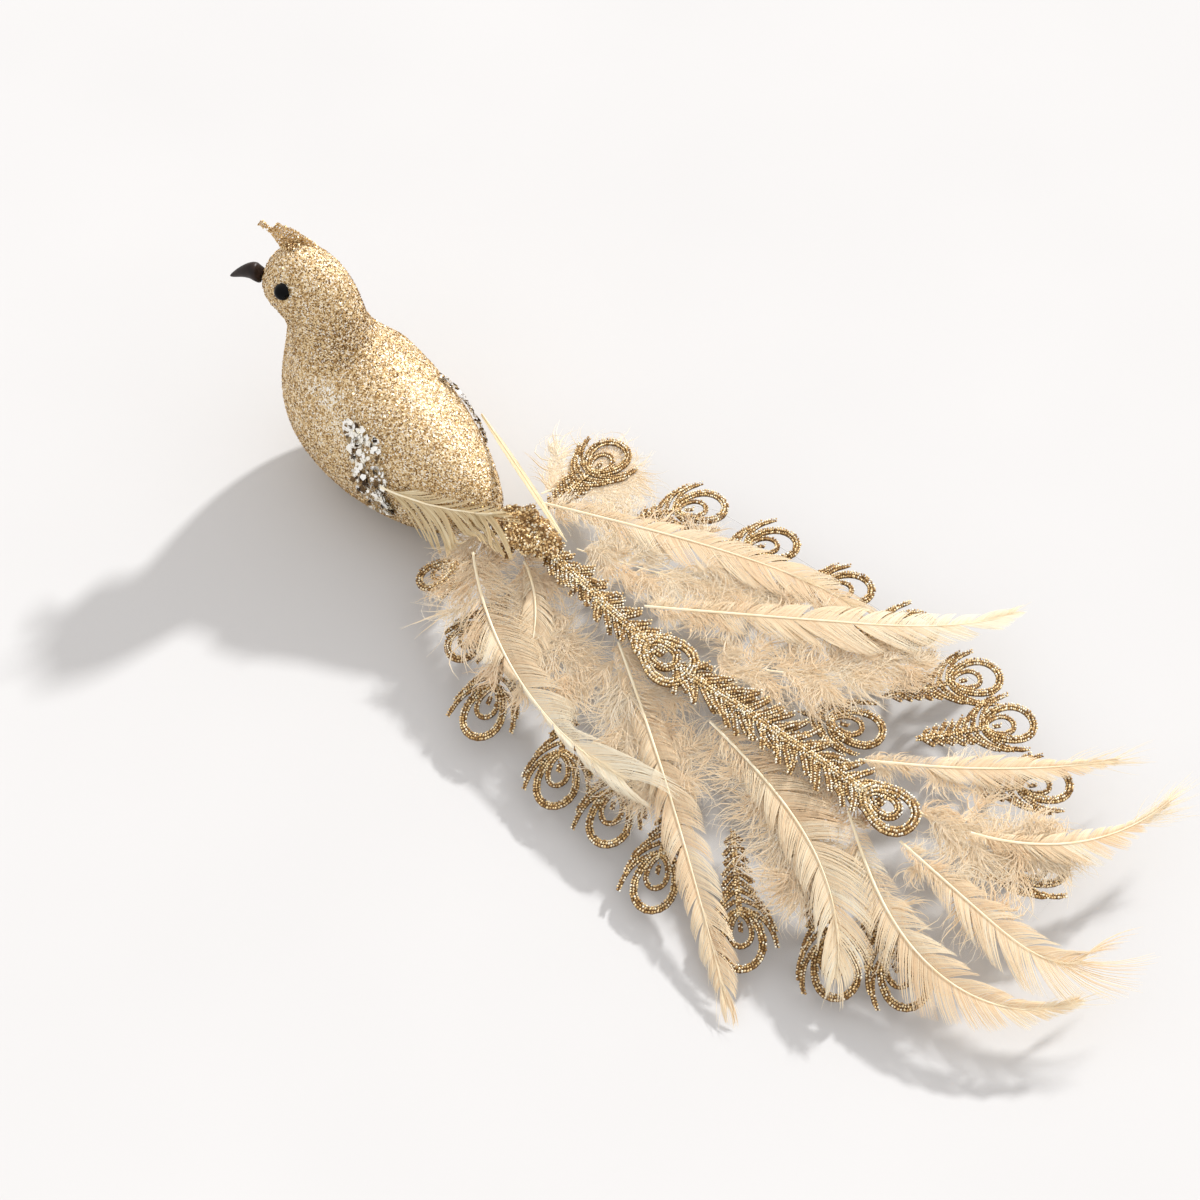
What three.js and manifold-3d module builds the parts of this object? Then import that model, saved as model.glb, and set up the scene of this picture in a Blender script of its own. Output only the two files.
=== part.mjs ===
// A glitter peacock ornament: a champagne-gold glittered bird with a black bead eye on
// each side, a netted glitter crest, and a long tail of real feathers laid over a clear
// film that carries glitter peacock-eye sprays.
//
// Millimetres, +Z up. The bird looks along -X and its tail runs along +X, so its left
// side is -Y. It lies on the flat of its belly, and the tail is held off the table.

import * as THREE from 'three';
import { mergeVertices } from 'three/addons/utils/BufferGeometryUtils.js';
import Module from 'manifold-3d';

// Driving dimensions

const BODY_WIDTH = 50;
const TAIL_END = 262;
const SPINE_Y = -6;
const EYE_BEAD = 5.6;
const BEAK_LENGTH = 9.5;

const FILM_THICK = 0.3;
const ROPE_WIDTH = 1.5;
const ROPE_HEIGHT = 1.1;
const VANE_THICK = 0.45;
const QUILL_RISE = 0.35;
const DOWN_THICK = 1.1;

// Heights of the layers above the tail's own surface, each clear of the next

const LAYER_FILM = 0;
const LAYER_SPRAY = 0.8;
const LAYER_DOWN = 2.2;
const LAYER_LOW = 3.6;
const LAYER_HIGH = 4.8;
const LAYER_SPINE = 6.4;

const wasm = await Module();
wasm.setup();

const rad = THREE.MathUtils.degToRad;
const lerp = THREE.MathUtils.lerp;

// A value between the rows of a short list of [place, value] pairs

function between(rows, at) {
  if (at <= rows[0][0]) return rows[0][1];
  for (let i = 1; i < rows.length; i++) {
    const [a, va] = rows[i - 1];
    const [b, vb] = rows[i];
    if (at <= b) return lerp(va, vb, (at - a) / (b - a));
  }
  return rows[rows.length - 1][1];
}

// The tail is arched like a roof: a ridge under the spine, the left side falling
// steeply and the right side almost level

const RIDGE = [[55, 21], [125, 21], [160, 22], [205, 21], [250, 17], [285, 13]];
const LEFT_FALL = 12;
const RIGHT_FALL = 4;
const FALL_AT = 50;

function tailHeight(x, y) {
  const out = y - SPINE_Y;
  const fall = out < 0 ? LEFT_FALL : RIGHT_FALL;
  return between(RIDGE, x) - fall * Math.pow(Math.abs(out) / FALL_AT, 1.5);
}

// A closed solid through a row of rings that all have the same number of points. A ring
// of one point closes that end; any other end ring is closed by a flat cap.

function loft(rings) {
  const points = [];
  const faces = [];
  const starts = rings.map((ring) => {
    const start = points.length;
    points.push(...ring);
    return start;
  });
  const count = Math.max(...rings.map((ring) => ring.length));
  for (let r = 0; r + 1 < rings.length; r++) {
    const a = starts[r];
    const b = starts[r + 1];
    for (let k = 0; k < count; k++) {
      const n = (k + 1) % count;
      if (rings[r].length === 1) faces.push([a, b + n, b + k]);
      else if (rings[r + 1].length === 1) faces.push([a + k, a + n, b]);
      else faces.push([a + k, a + n, b + n], [a + k, b + n, b + k]);
    }
  }
  const last = rings.length - 1;
  if (rings[0].length > 1) cap(points, faces, rings[0], starts[0], true);
  if (rings[last].length > 1) cap(points, faces, rings[last], starts[last], false);
  return geometryFrom(points, faces);
}

function cap(points, faces, ring, start, first) {
  if (ring.length <= 6) {
    for (let k = 1; k + 1 < ring.length; k++) {
      const [a, b, c] = [start, start + k, start + k + 1];
      faces.push(first ? [a, c, b] : [a, b, c]);
    }
    return;
  }
  const middle = new THREE.Vector3();
  for (const p of ring) middle.add(p);
  points.push(middle.multiplyScalar(1 / ring.length));
  const m = points.length - 1;
  for (let k = 0; k < ring.length; k++) {
    const n = (k + 1) % ring.length;
    faces.push(first ? [m, start + n, start + k] : [m, start + k, start + n]);
  }
}

function geometryFrom(points, faces) {
  const flat = new Float32Array(points.flatMap((p) => [p.x, p.y, p.z]));
  const geometry = new THREE.BufferGeometry();
  geometry.setAttribute('position', new THREE.BufferAttribute(flat, 3));
  geometry.setIndex(faces.flat());
  if (signedVolume(geometry) < 0) geometry.setIndex(faces.map(([a, b, c]) => [a, c, b]).flat());
  return geometry;
}

function signedVolume(geometry) {
  const at = geometry.attributes.position;
  const index = geometry.index.array;
  let sum = 0;
  const [a, b, c] = [new THREE.Vector3(), new THREE.Vector3(), new THREE.Vector3()];
  for (let i = 0; i < index.length; i += 3) {
    a.fromBufferAttribute(at, index[i]);
    b.fromBufferAttribute(at, index[i + 1]);
    c.fromBufferAttribute(at, index[i + 2]);
    sum += a.dot(b.cross(c));
  }
  return sum;
}

// Joins solids into one, or cuts the second from the first

function solid(geometry) {
  const bare = geometry.clone();
  bare.deleteAttribute('normal');
  bare.deleteAttribute('uv');
  const welded = mergeVertices(bare, 1e-4);
  return new wasm.Manifold(new wasm.Mesh({
    numProp: 3,
    vertProperties: new Float32Array(welded.attributes.position.array),
    triVerts: new Uint32Array(welded.index.array),
  }));
}

function fromSolid(manifold) {
  const mesh = manifold.getMesh();
  const geometry = new THREE.BufferGeometry();
  geometry.setAttribute('position', new THREE.BufferAttribute(mesh.vertProperties, 3));
  geometry.setIndex(new THREE.BufferAttribute(mesh.triVerts, 1));
  return geometry;
}

const joined = (geometries) =>
  fromSolid(geometries.map(solid).reduce((sum, next) => sum.add(next)));
const cut = (from, tool) => fromSolid(solid(from).subtract(solid(tool)));

// Lays a flat-drawn solid on the tail, at a height above the tail's surface

function laidOnTail(geometry, layer) {
  const at = geometry.attributes.position;
  for (let i = 0; i < at.count; i++) {
    const height = tailHeight(at.getX(i), at.getY(i));
    at.setZ(i, at.getZ(i) + height + layer);
  }
  return geometry;
}

// The body: breast, back, neck and head in one glittered form. Each ring gives its
// middle, its half-width, its half-height (and its depth below, where the belly is fuller)
// and how far it leans from upright to level.

const BELLY_FLAT = 1.5;
const BODY_RINGS = [
  { x: 56.5, y: -4.5, z: 24.8, wide: 5.5, high: 5.5, lean: 0 },
  { x: 51, y: -4.1, z: 24.6, wide: 9.6, high: 9.6, deep: 11.5, lean: 0 },
  { x: 43, y: -3.6, z: 24.4, wide: 14.4, high: 14.4, deep: 18, lean: 0 },
  { x: 33, y: -3.1, z: 24.2, wide: 18.9, high: 18.9, deep: 22.6, lean: 0 },
  { x: 22, y: -2.4, z: 24.2, wide: 22.6, high: 22.8, lean: 0 },
  { x: 11, y: -1.4, z: 24.6, wide: 24.6, high: 24.6, lean: 0 },
  { x: 1, y: -0.5, z: 25.6, wide: BODY_WIDTH / 2, high: 25.3, lean: 6 },
  { x: -7.5, y: 0, z: 28.6, wide: 24.4, high: 25, lean: 19 },
  { x: -13.6, y: 0, z: 33.6, wide: 22.2, high: 23.4, lean: 36 },
  { x: -16.6, y: 0, z: 40.2, wide: 18.6, high: 19.8, lean: 54 },
  { x: -16.6, y: 0, z: 48, wide: 14.8, high: 15.4, lean: 72 },
  { x: -16.4, y: 0, z: 55, wide: 12.5, high: 12.7, lean: 82 },
  { x: -18.8, y: 1, z: 61, wide: 12, high: 12.4, lean: 74 },
  { x: -22.8, y: 0.1, z: 66.2, wide: 12.8, high: 13.4, lean: 62 },
  { x: -27.2, y: -0.8, z: 71, wide: 12.2, high: 13, lean: 56 },
  { x: -30, y: -0.6, z: 74.8, wide: 9.2, high: 9.8, lean: 54 },
  { x: -31.8, y: -0.4, z: 77.4, wide: 5, high: 5.4, lean: 53 },
];
const BODY_TAIL_POINT = new THREE.Vector3(59.2, -4.7, 25);
const BODY_CROWN_POINT = new THREE.Vector3(-32.4, -0.4, 78.4);
const BODY_SIDES = 20;

function bodyRing(ring, grow) {
  const lean = rad(ring.lean);
  const up = new THREE.Vector3(Math.sin(lean), 0, Math.cos(lean));
  const points = [];
  for (let k = 0; k < BODY_SIDES; k++) {
    const turn = (2 * Math.PI * k) / BODY_SIDES;
    const p = new THREE.Vector3(ring.x, ring.y, ring.z);
    const rise = turn > Math.PI / 2 && turn < 1.5 * Math.PI ? (ring.deep ?? ring.high) : ring.high;
    p.addScaledVector(up, (rise + grow) * Math.cos(turn));
    p.y += (ring.wide + grow) * Math.sin(turn);
    points.push(p);
  }
  return points;
}

function bodyForm(grow) {
  const tail = BODY_TAIL_POINT.clone();
  tail.x += grow;
  const crown = BODY_CROWN_POINT.clone();
  crown.add(new THREE.Vector3(-0.6 * grow, 0, 0.8 * grow));
  return loft([[tail], ...BODY_RINGS.map((ring) => bodyRing(ring, grow)), [crown]]);
}

function body() {
  const tray = new THREE.BoxGeometry(200, 200, 20).translate(0, 0, BELLY_FLAT - 10);
  return cut(bodyForm(0), tray);
}

const grownBody = bodyForm(0.3);

// Radius and middle of the body at a station along its straight part

const FLANK_MIDDLE_Y = BODY_RINGS.slice(0, 8).map((r) => [r.x, r.y]).reverse();
const FLANK_MIDDLE_Z = BODY_RINGS.slice(0, 8).map((r) => [r.x, r.z]).reverse();
const FLANK_RADIUS = BODY_RINGS.slice(0, 8).map((r) => [r.x, r.wide]).reverse();

// A point off the flank: station along the body, degrees from the back down the left
// side, and clearance from the skin

function flank(x, degrees, gap) {
  const turn = rad(degrees);
  const reach = between(FLANK_RADIUS, x) + gap;
  const y = between(FLANK_MIDDLE_Y, x) - reach * Math.sin(turn);
  const z = between(FLANK_MIDDLE_Z, x) + reach * Math.cos(turn);
  return new THREE.Vector3(x, y, z);
}

// The head turns a little to its left; its features are placed from its middle

const HEAD = new THREE.Vector3(-25.2, 0, 67.2);
const BEAK_SIDE = new THREE.Vector3(-0.84, -0.52, 0.12).normalize();
const LEFT_EYE_SIDE = new THREE.Vector3(0.22, -0.82, 0.53).normalize();
const RIGHT_EYE_SIDE = new THREE.Vector3(-0.82, 0.56, -0.12).normalize();
const CREST_SIDE = new THREE.Vector3(-0.45, 0.13, 0.885).normalize();

function beak() {
  const root = HEAD.clone().addScaledVector(BEAK_SIDE, 12).add(new THREE.Vector3(-1.8, -0.7, 0.8));
  const ahead = new THREE.Vector3(-0.78, -0.47, -0.41).normalize();
  const across = new THREE.Vector3(0, 0, 1).cross(ahead).normalize();
  const up = ahead.clone().cross(across);
  const stations = [[0, 2.9, 3.2, 0], [3.2, 2.6, 3, 0.5], [6.4, 1.9, 2.2, 0.5], [9.4, 1.1, 1.4, -0.1]];
  const rings = stations.map(([along, wide, high, rise]) => {
    const ring = [];
    for (let k = 0; k < 10; k++) {
      const turn = (2 * Math.PI * k) / 10;
      const p = root.clone().addScaledVector(ahead, along);
      p.addScaledVector(across, wide * Math.sin(turn));
      p.addScaledVector(up, high * Math.cos(turn) + rise);
      ring.push(p);
    }
    return ring;
  });
  const tip = root.clone().addScaledVector(ahead, BEAK_LENGTH + 2.4).addScaledVector(up, -0.4);
  return cut(loft([...rings, [tip]]), grownBody);
}

function beadEye(side, out) {
  const middle = HEAD.clone().addScaledVector(side, out);
  const bead = new THREE.SphereGeometry(EYE_BEAD / 2, 12, 8).translate(...middle.toArray());
  return cut(bead, grownBody);
}

// The crest is a torn scrap of glittered net that stands on the crown

function crest() {
  const foot = HEAD.clone().addScaledVector(CREST_SIDE, 12.4);
  const ahead = new THREE.Vector3(-0.747, -0.665, 0);
  const up = new THREE.Vector3(-0.3, 0.2, 0.93).normalize();
  const outline = [
    [2.5, -1.5], [4.6, 2.2], [6.9, 6], [9.2, 7.2], [7.6, 9], [4.8, 6.2], [3.2, 8],
    [0.2, 6.6], [-3.6, 4.4], [-5.4, 3], [-8.4, 0.2], [-5, 0.8], [-3, -1.5],
  ];
  const shape = new THREE.Shape(outline.map(([x, y]) => new THREE.Vector2(x, y)));
  const plate = new THREE.ExtrudeGeometry(shape, { depth: 1.2, bevelEnabled: false });
  plate.translate(0, 0, -0.6);
  const basis = new THREE.Matrix4().makeBasis(ahead, up, ahead.clone().cross(up).normalize());
  plate.applyMatrix4(basis.setPosition(foot));
  return cut(plate, grownBody);
}

// Mirror flakes: a thin crooked patch on each flank, given as rows of station and of the
// two angles that bound it

function flakePatch(rows, inner, outer) {
  const rings = rows.map(([x, from, to]) => {
    const spread = [0, 0.25, 0.5, 0.75, 1].map((t) => lerp(from, to, t));
    const top = spread.map((a) => flank(x, a, outer));
    const bottom = spread.map((a) => flank(x, a, inner)).reverse();
    return [...top, ...bottom];
  });
  return loft(rings);
}

const LEFT_FLAKES = [
  [9.5, 41, 45], [13, 39, 53], [16.5, 39, 66], [20, 41, 84], [23.5, 46, 94], [27, 62, 98], [30, 88, 98],
];
const RIGHT_FLAKES = [[16, -46, -54], [20, -50, -66], [25, -55, -76], [30, -64, -86], [34, -74, -90]];

// A wing feather: rows of station, place on the flank and the vane's two edges

function wingFeatherLeft() {
  const rows = [
    [29, 62, 68, 76, 1.0, 0], [36, 54, 66, 96, 1.2, 1], [43, 48, 63, 112, 1.6, 3],
    [50, 38, 56, 118, 2.4, 6.5], [56, 20, 44, 104, 4.0, 9], [62, 8, 26, 62, 5.4, 4],
  ];
  const edge = 0.5;
  const rings = rows.map(([x, high, quill, low, gap, swing]) => [
    flank(x, high, gap + edge), flank(x, quill, gap + 0.9), flank(x, low, gap + swing + edge),
    flank(x, low, gap + swing), flank(x, quill, gap), flank(x, high, gap),
  ]);
  return loft(rings);
}

function wingFeatherRight() {
  const path = [
    [33, 16.6, 33, 1.2], [46.5, 11, 35.5, 2.6], [58.2, 6.4, 36.8, 3], [70, 1.8, 37.6, 2.8], [80.4, -2.4, 38.3, 1.8],
  ];
  const rings = path.map(([x, y, z, reach]) => [
    new THREE.Vector3(x + 0.3, y + 0.5, z + reach),
    new THREE.Vector3(x + 0.5, y + 1.0, z),
    new THREE.Vector3(x + 0.3, y + 0.5, z - reach),
    new THREE.Vector3(x, y, z - reach),
    new THREE.Vector3(x, y, z + reach),
  ]);
  const tip = new THREE.Vector3(87.4, -4.8, 38.4);
  return loft([...rings, [tip]]);
}

// Where the tail is glued to the body: a lump of coarse glitter

function tailRoot() {
  const rows = [[63, 4, 1.6], [67, 6.8, 2.5], [74, 7.4, 2.9], [80, 5.4, 2.2], [84, 2.4, 1.4]];
  const rings = rows.map(([x, wide, high]) => {
    const ring = [];
    for (let k = 0; k < 10; k++) {
      const turn = (2 * Math.PI * k) / 10;
      ring.push(new THREE.Vector3(x, SPINE_Y + wide * Math.sin(turn), 32.2 + high * Math.cos(turn)));
    }
    return ring;
  });
  return loft(rings);
}

// The clear film under the sprays, given as rows of station and its two half-widths

const FILM_ROWS = [
  [62, 12, 12], [72, 30, 28], [86, 44, 44], [104, 53, 54], [124, 56, 56], [150, 57, 57],
  [178, 58, 58], [204, 55, 56], [226, 46, 48], [244, 33, 36], [256, 18, 24], [TAIL_END, 6, 12],
];

function film() {
  const rings = FILM_ROWS.map(([x, left, right]) => {
    const stops = [-1, -0.5, 0, 0.5, 1];
    const across = stops.map((t) => SPINE_Y + (t < 0 ? t * left : t * right));
    const top = across.map((y) => new THREE.Vector3(x, y, FILM_THICK));
    const bottom = across.map((y) => new THREE.Vector3(x, y, 0)).reverse();
    return [...top, ...bottom];
  });
  return laidOnTail(loft(rings), LAYER_FILM);
}

// A raised line of glitter along a flat path of [x, y] points; a closed path makes a ring

function rope(path, width, ringed) {
  const half = width / 2;
  const count = path.length;
  const sections = path.map(([x, y], i) => {
    const before = ringed ? path[(i + count - 1) % count] : path[Math.max(i - 1, 0)];
    const after = ringed ? path[(i + 1) % count] : path[Math.min(i + 1, count - 1)];
    const run = Math.hypot(after[0] - before[0], after[1] - before[1]);
    const nx = (-(after[1] - before[1]) / run) * half;
    const ny = ((after[0] - before[0]) / run) * half;
    return [
      new THREE.Vector3(x + nx, y + ny, 0),
      new THREE.Vector3(x, y, ROPE_HEIGHT),
      new THREE.Vector3(x - nx, y - ny, 0),
    ];
  });
  if (!ringed) return loft(sections);
  const points = sections.flat();
  const faces = [];
  for (let r = 0; r < count; r++) {
    const a = r * 3;
    const b = ((r + 1) % count) * 3;
    for (let k = 0; k < 3; k++) {
      const n = (k + 1) % 3;
      faces.push([a + k, a + n, b + n], [a + k, b + n, b + k]);
    }
  }
  return geometryFrom(points, faces);
}

// The teardrop of a peacock eye, its point at the origin and its round end along +X

function teardrop(length, width, steps) {
  const points = [];
  for (let i = 0; i < steps; i++) {
    const turn = (2 * Math.PI * i) / steps;
    const along = (length / 2) * (1 - Math.cos(turn));
    const across = (width / 2) * Math.sin(turn) * (1 - 0.22 * Math.cos(turn));
    points.push([along, -across]);
  }
  return points;
}

// One spray, drawn along +X from its root: a stalk with slanting barbs, then the eye with
// two rings and a drop, embraced by long curved barbs. A part of it may be left out.

function sprayParts(spray) {
  const eyeLength = spray.eye ?? 16;
  const eyeWidth = spray.eyeWide ?? 11.5;
  const stalk = spray.stalk;
  const parts = [rope([[0, 0], [stalk + 0.8, 0]], ROPE_WIDTH, false)];
  const shifted = (points, by) => points.map(([x, y]) => [x + by, y]);
  parts.push(rope(shifted(teardrop(eyeLength, eyeWidth, 9), stalk), ROPE_WIDTH * 1.2, true));
  parts.push(rope(shifted(teardrop(eyeLength * 0.56, eyeWidth * 0.52, 6), stalk + 0.6), ROPE_WIDTH, true));
  const barb = (from, reach, length, curl) => {
    const stops = length > 9 ? [0, 0.5, 1] : [0, 1];
    for (const side of spray.sides ?? [-1, 1]) {
      const path = stops.map((t) => {
        const heading = rad(reach - curl * t);
        return [from + length * t * Math.cos(heading), side * length * t * Math.sin(heading)];
      });
      parts.push(rope(path, ROPE_WIDTH * 0.86, false));
    }
  };
  barb(stalk - 1, 52, 13, 14);
  barb(stalk - 4.5, 52, 11, 14);
  for (let from = stalk - 8.5; from > 2; from -= 5.2) barb(from, 52, lerp(4, 8.5, from / stalk), 6);
  return parts;
}

function spray(placed, layer) {
  const flat = joined(sprayParts(placed));
  flat.rotateZ(rad(placed.aim));
  flat.translate(placed.x, placed.y, 0);
  return laidOnTail(flat, layer);
}

// Rim sprays, each from its root toward the rim

const RIM_SPRAYS = {
  eye_spray_left_1: { x: 61, y: -17, aim: -112, stalk: 7, eye: 12, eyeWide: 7, sides: [1] },
  eye_spray_left_2: { x: 79, y: -20, aim: -92, stalk: 14, eye: 12, eyeWide: 9 },
  eye_spray_left_3: { x: 90, y: -31, aim: -70, stalk: 15 },
  eye_spray_left_4: { x: 117, y: -36, aim: -57, stalk: 15 },
  eye_spray_left_5: { x: 138, y: -34, aim: -60, stalk: 16 },
  eye_spray_left_6: { x: 161, y: -39, aim: -62, stalk: 17 },
  eye_spray_left_7: { x: 181, y: -37, aim: -45, stalk: 23 },
  eye_spray_left_8: { x: 206, y: -34, aim: -34, stalk: 19 },
  eye_spray_left_9: { x: 226, y: -33, aim: -20, stalk: 12 },
  eye_spray_right_1: { x: 66, y: 10, aim: 92, stalk: 21 },
  eye_spray_right_2: { x: 88, y: 27, aim: 56, stalk: 13 },
  eye_spray_right_3: { x: 112, y: 31, aim: 52, stalk: 14 },
  eye_spray_right_4: { x: 138, y: 33, aim: 48, stalk: 15 },
  eye_spray_right_5: { x: 163, y: 31, aim: 56, stalk: 17 },
  eye_spray_right_6: { x: 186, y: 25, aim: 58, stalk: 22 },
  eye_spray_right_7: { x: 203, y: 20, aim: 57, stalk: 21 },
  eye_spray_right_8: { x: 226, y: 18, aim: 54, stalk: 13 },
  eye_spray_right_9: { x: 245, y: -2, aim: 58, stalk: 8 },
  eye_spray_middle: { x: 172, y: 4, aim: 24, stalk: 9 },
};

// The spine: a thick plume of barbs along the ridge that carries two larger eyes

const SPINE = {
  spine_spray_root: { x: 80, y: -5, aim: -6, stalk: 24, barbs: 6, eye: 0 },
  spine_spray_front: { x: 107, y: -8.5, aim: -5, stalk: 18, barbs: 7, eye: 17, eyeWide: 12.5 },
  spine_spray_back: { x: 147, y: -10.5, aim: 3, stalk: 55, barbs: 8, eye: 19, eyeWide: 12 },
};

function spineSpray({ x, y, aim, stalk, barbs, eye, eyeWide }) {
  const parts = [rope([[0, 0], [stalk + 1, 0]], 3, false)];
  if (eye) {
    const shifted = (points) => points.map(([u, v]) => [u + stalk, v]);
    parts.push(rope(shifted(teardrop(eye, eyeWide, 12)), ROPE_WIDTH * 1.5, true));
    parts.push(rope(shifted(teardrop(eye * 0.6, eyeWide * 0.56, 8)), ROPE_WIDTH * 1.2, true));
  }
  const count = Math.round(stalk / 4);
  for (let i = 0; i <= count; i++) {
    const from = 0.5 + (stalk - 2) * (i / count);
    const length = i === count && eye ? eye * 0.8 : barbs;
    for (const side of [-1, 1]) {
      const path = [0, 1].map((t) => {
        const heading = rad(46);
        return [from + length * t * Math.cos(heading), side * length * t * Math.sin(heading)];
      });
      parts.push(rope(path, ROPE_WIDTH * 1.1, false));
    }
  }
  const flat = joined(parts);
  flat.rotateZ(rad(aim));
  flat.translate(x, y, 0);
  return laidOnTail(flat, LAYER_SPINE);
}

// A feather lies along a curved quill: it starts at x, y on heading aim and turns by
// bend over its length, mostly toward the tip where late is above 1. The vane's width
// on each side is given at the quill's start, middle, three quarters and tip.

function quillPath({ x, y, aim, bend, length, late = 1 }, steps) {
  const path = [];
  let at = [x, y];
  for (let i = 0; i <= steps; i++) {
    const t = i / steps;
    const heading = rad(aim + bend * Math.pow(t, late));
    path.push({ at, heading, t });
    at = [at[0] + (length / steps) * Math.cos(heading), at[1] + (length / steps) * Math.sin(heading)];
  }
  return path;
}

const vaneWidth = (widths, t) =>
  between([[0, widths[0]], [0.45, widths[1]], [0.8, widths[2]], [1, widths[3]]], t);

function feather(shape, layer, thick, steps = 10) {
  const rings = quillPath(shape, steps).map(({ at, heading, t }) => {
    const across = [-Math.sin(heading), Math.cos(heading)];
    const lift = (shape.lift ?? 0) * t * t * t;
    const place = (out, z) =>
      new THREE.Vector3(at[0] + across[0] * out, at[1] + across[1] * out, z + lift);
    const left = vaneWidth(shape.left, t);
    const right = vaneWidth(shape.right, t);
    return [
      place(left, thick), place(0, thick + QUILL_RISE), place(-right, thick),
      place(-right, 0), place(0, 0), place(left, 0),
    ];
  });
  return laidOnTail(loft(rings), layer);
}

const FEATHERS_LOW = {
  feather_left_2: { x: 76, y: -11, aim: -26, bend: -44, length: 36, left: [1, 6, 5, 1], right: [1, 6, 5, 1] },
  feather_left_3: { x: 117, y: -14, aim: -31, bend: -4, length: 114, left: [3, 8, 7, 1], right: [3, 8, 6, 1] },
  feather_left_5: {
    x: 204, y: -14, aim: -34, bend: 100, late: 1.8, length: 94, left: [3, 9, 6, 1], right: [3, 11, 8, 1],
  },
  feather_right_1: { x: 64, y: 9, aim: 26, bend: -26, late: 3, length: 106, left: [3, 9, 9, 2], right: [4, 14, 9, 2] },
  feather_right_3: { x: 196, y: 1, aim: 36, bend: 20, length: 78, left: [2, 6, 4, 1], right: [2, 8, 7, 1] },
};

const FEATHERS_HIGH = {
  feather_left_1: { x: 62, y: -19, aim: -40, bend: 46, length: 92, left: [6, 14, 8, 4], right: [5, 10, 6, 3] },
  feather_left_4: { x: 156, y: -18, aim: -8, bend: -52, late: 2, length: 86, left: [6, 13, 9, 1], right: [6, 12, 8, 1] },
  feather_left_6: { x: 221, y: -12, aim: -3, bend: 74, late: 6, length: 62, left: [2, 7, 6, 4], right: [2, 9, 9, 5] },
  feather_right_2: {
    x: 115, y: 0, aim: 37, bend: 36, late: 4, length: 116, left: [3, 9, 5, 1], right: [4, 14, 5, 1],
  },
  feather_right_4: {
    x: 234, y: 4, aim: 26, bend: 56, length: 62, left: [2, 5, 3, 1], right: [3, 10, 5, 1], lift: 5,
  },
};

const DOWN = {
  down_left_1: { x: 86, y: -16, aim: -30, bend: 0, length: 34, left: [3, 7, 7, 3], right: [3, 7, 7, 3] },
  down_left_2: { x: 122, y: -20, aim: -28, bend: 0, length: 42, left: [3, 9, 8, 3], right: [3, 8, 8, 3] },
  down_left_3: { x: 172, y: -15, aim: -24, bend: -10, length: 44, left: [3, 8, 7, 3], right: [3, 9, 8, 3] },
  down_right_1: { x: 60, y: 14, aim: 72, bend: -12, length: 26, left: [3, 8, 7, 3], right: [2, 6, 6, 2] },
  down_right_2: { x: 84, y: 4, aim: 22, bend: 4, length: 66, left: [2, 6, 6, 2], right: [2, 6, 7, 2] },
  down_right_3: { x: 156, y: 8, aim: 32, bend: 24, length: 46, left: [3, 8, 7, 2], right: [3, 9, 7, 2] },
  down_right_4: { x: 218, y: 0, aim: 20, bend: 10, length: 38, left: [3, 8, 8, 3], right: [3, 8, 7, 3] },
};

// Materials

const material = (color, roughness, metalness) =>
  new THREE.MeshStandardMaterial({ color, roughness, metalness, flatShading: true });

const champagneGlitter = () => material(0xc9a978, 0.45, 0.5);
const goldGlitter = () => material(0xa8824a, 0.4, 0.6);
const featherCream = () => material(0xf0dcbc, 0.75, 0);
const featherDown = () => material(0xe3c7a6, 0.9, 0);

function clearFilm() {
  const sheet = material(0xf4f4f2, 0.1, 0);
  sheet.transparent = true;
  sheet.opacity = 0.35;
  return sheet;
}

// The ornament

const ornament = new THREE.Group();
ornament.name = 'glitter_peacock_ornament';

function add(name, geometry, look) {
  geometry.computeVertexNormals();
  const mesh = new THREE.Mesh(geometry, look);
  mesh.name = name;
  ornament.add(mesh);
}

add('body', body(), champagneGlitter());
add('beak', beak(), material(0x3a2a24, 0.5, 0));
add('eye_left', beadEye(LEFT_EYE_SIDE, 13.4), material(0x0b0b0c, 0.12, 0));
add('eye_right', beadEye(RIGHT_EYE_SIDE, 12.3), material(0x0b0b0c, 0.12, 0));
add('crest', crest(), goldGlitter());
add('wing_flakes_left', flakePatch(LEFT_FLAKES, 0.4, 0.9), material(0xd9c79a, 0.15, 0.9));
add('wing_flakes_right', flakePatch(RIGHT_FLAKES, 0.4, 0.9), material(0xd9c79a, 0.15, 0.9));
add('wing_feather_left', wingFeatherLeft(), featherCream());
add('wing_feather_right', wingFeatherRight(), featherCream());
add('tail_root', tailRoot(), goldGlitter());
add('tail_film', film(), clearFilm());
for (const [name, placed] of Object.entries(RIM_SPRAYS)) add(name, spray(placed, LAYER_SPRAY), goldGlitter());
for (const [name, placed] of Object.entries(SPINE)) add(name, spineSpray(placed), goldGlitter());
for (const [name, shape] of Object.entries(DOWN)) add(name, feather(shape, LAYER_DOWN, DOWN_THICK - QUILL_RISE, 7), featherDown());
for (const [name, shape] of Object.entries(FEATHERS_LOW)) add(name, feather(shape, LAYER_LOW, VANE_THICK), featherCream());
for (const [name, shape] of Object.entries(FEATHERS_HIGH)) add(name, feather(shape, LAYER_HIGH, VANE_THICK), featherCream());

// Stands the whole ornament over the origin, its lowest face on the table

const box = new THREE.Box3().setFromObject(ornament);
const middle = box.getCenter(new THREE.Vector3());
ornament.position.set(-middle.x, -middle.y, -box.min.z);

export default ornament;
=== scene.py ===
# %% [markdown]
# # A glitter peacock ornament with a feather tail
#
# The real thing is a foam bird rolled in champagne glitter. Its tail is a clear film sheet
# with sprays of beaded gold cord along the rim, marabou fluff, and ten cream hackle
# feathers. Blender dresses the solid model piece by piece, in the solid model's own frame,
# so every piece here is worked out from the same sizes, in millimetres, and then moved.

# %% The frame
import bpy
import math
import numpy as np
from mathutils import Matrix, Vector


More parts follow.
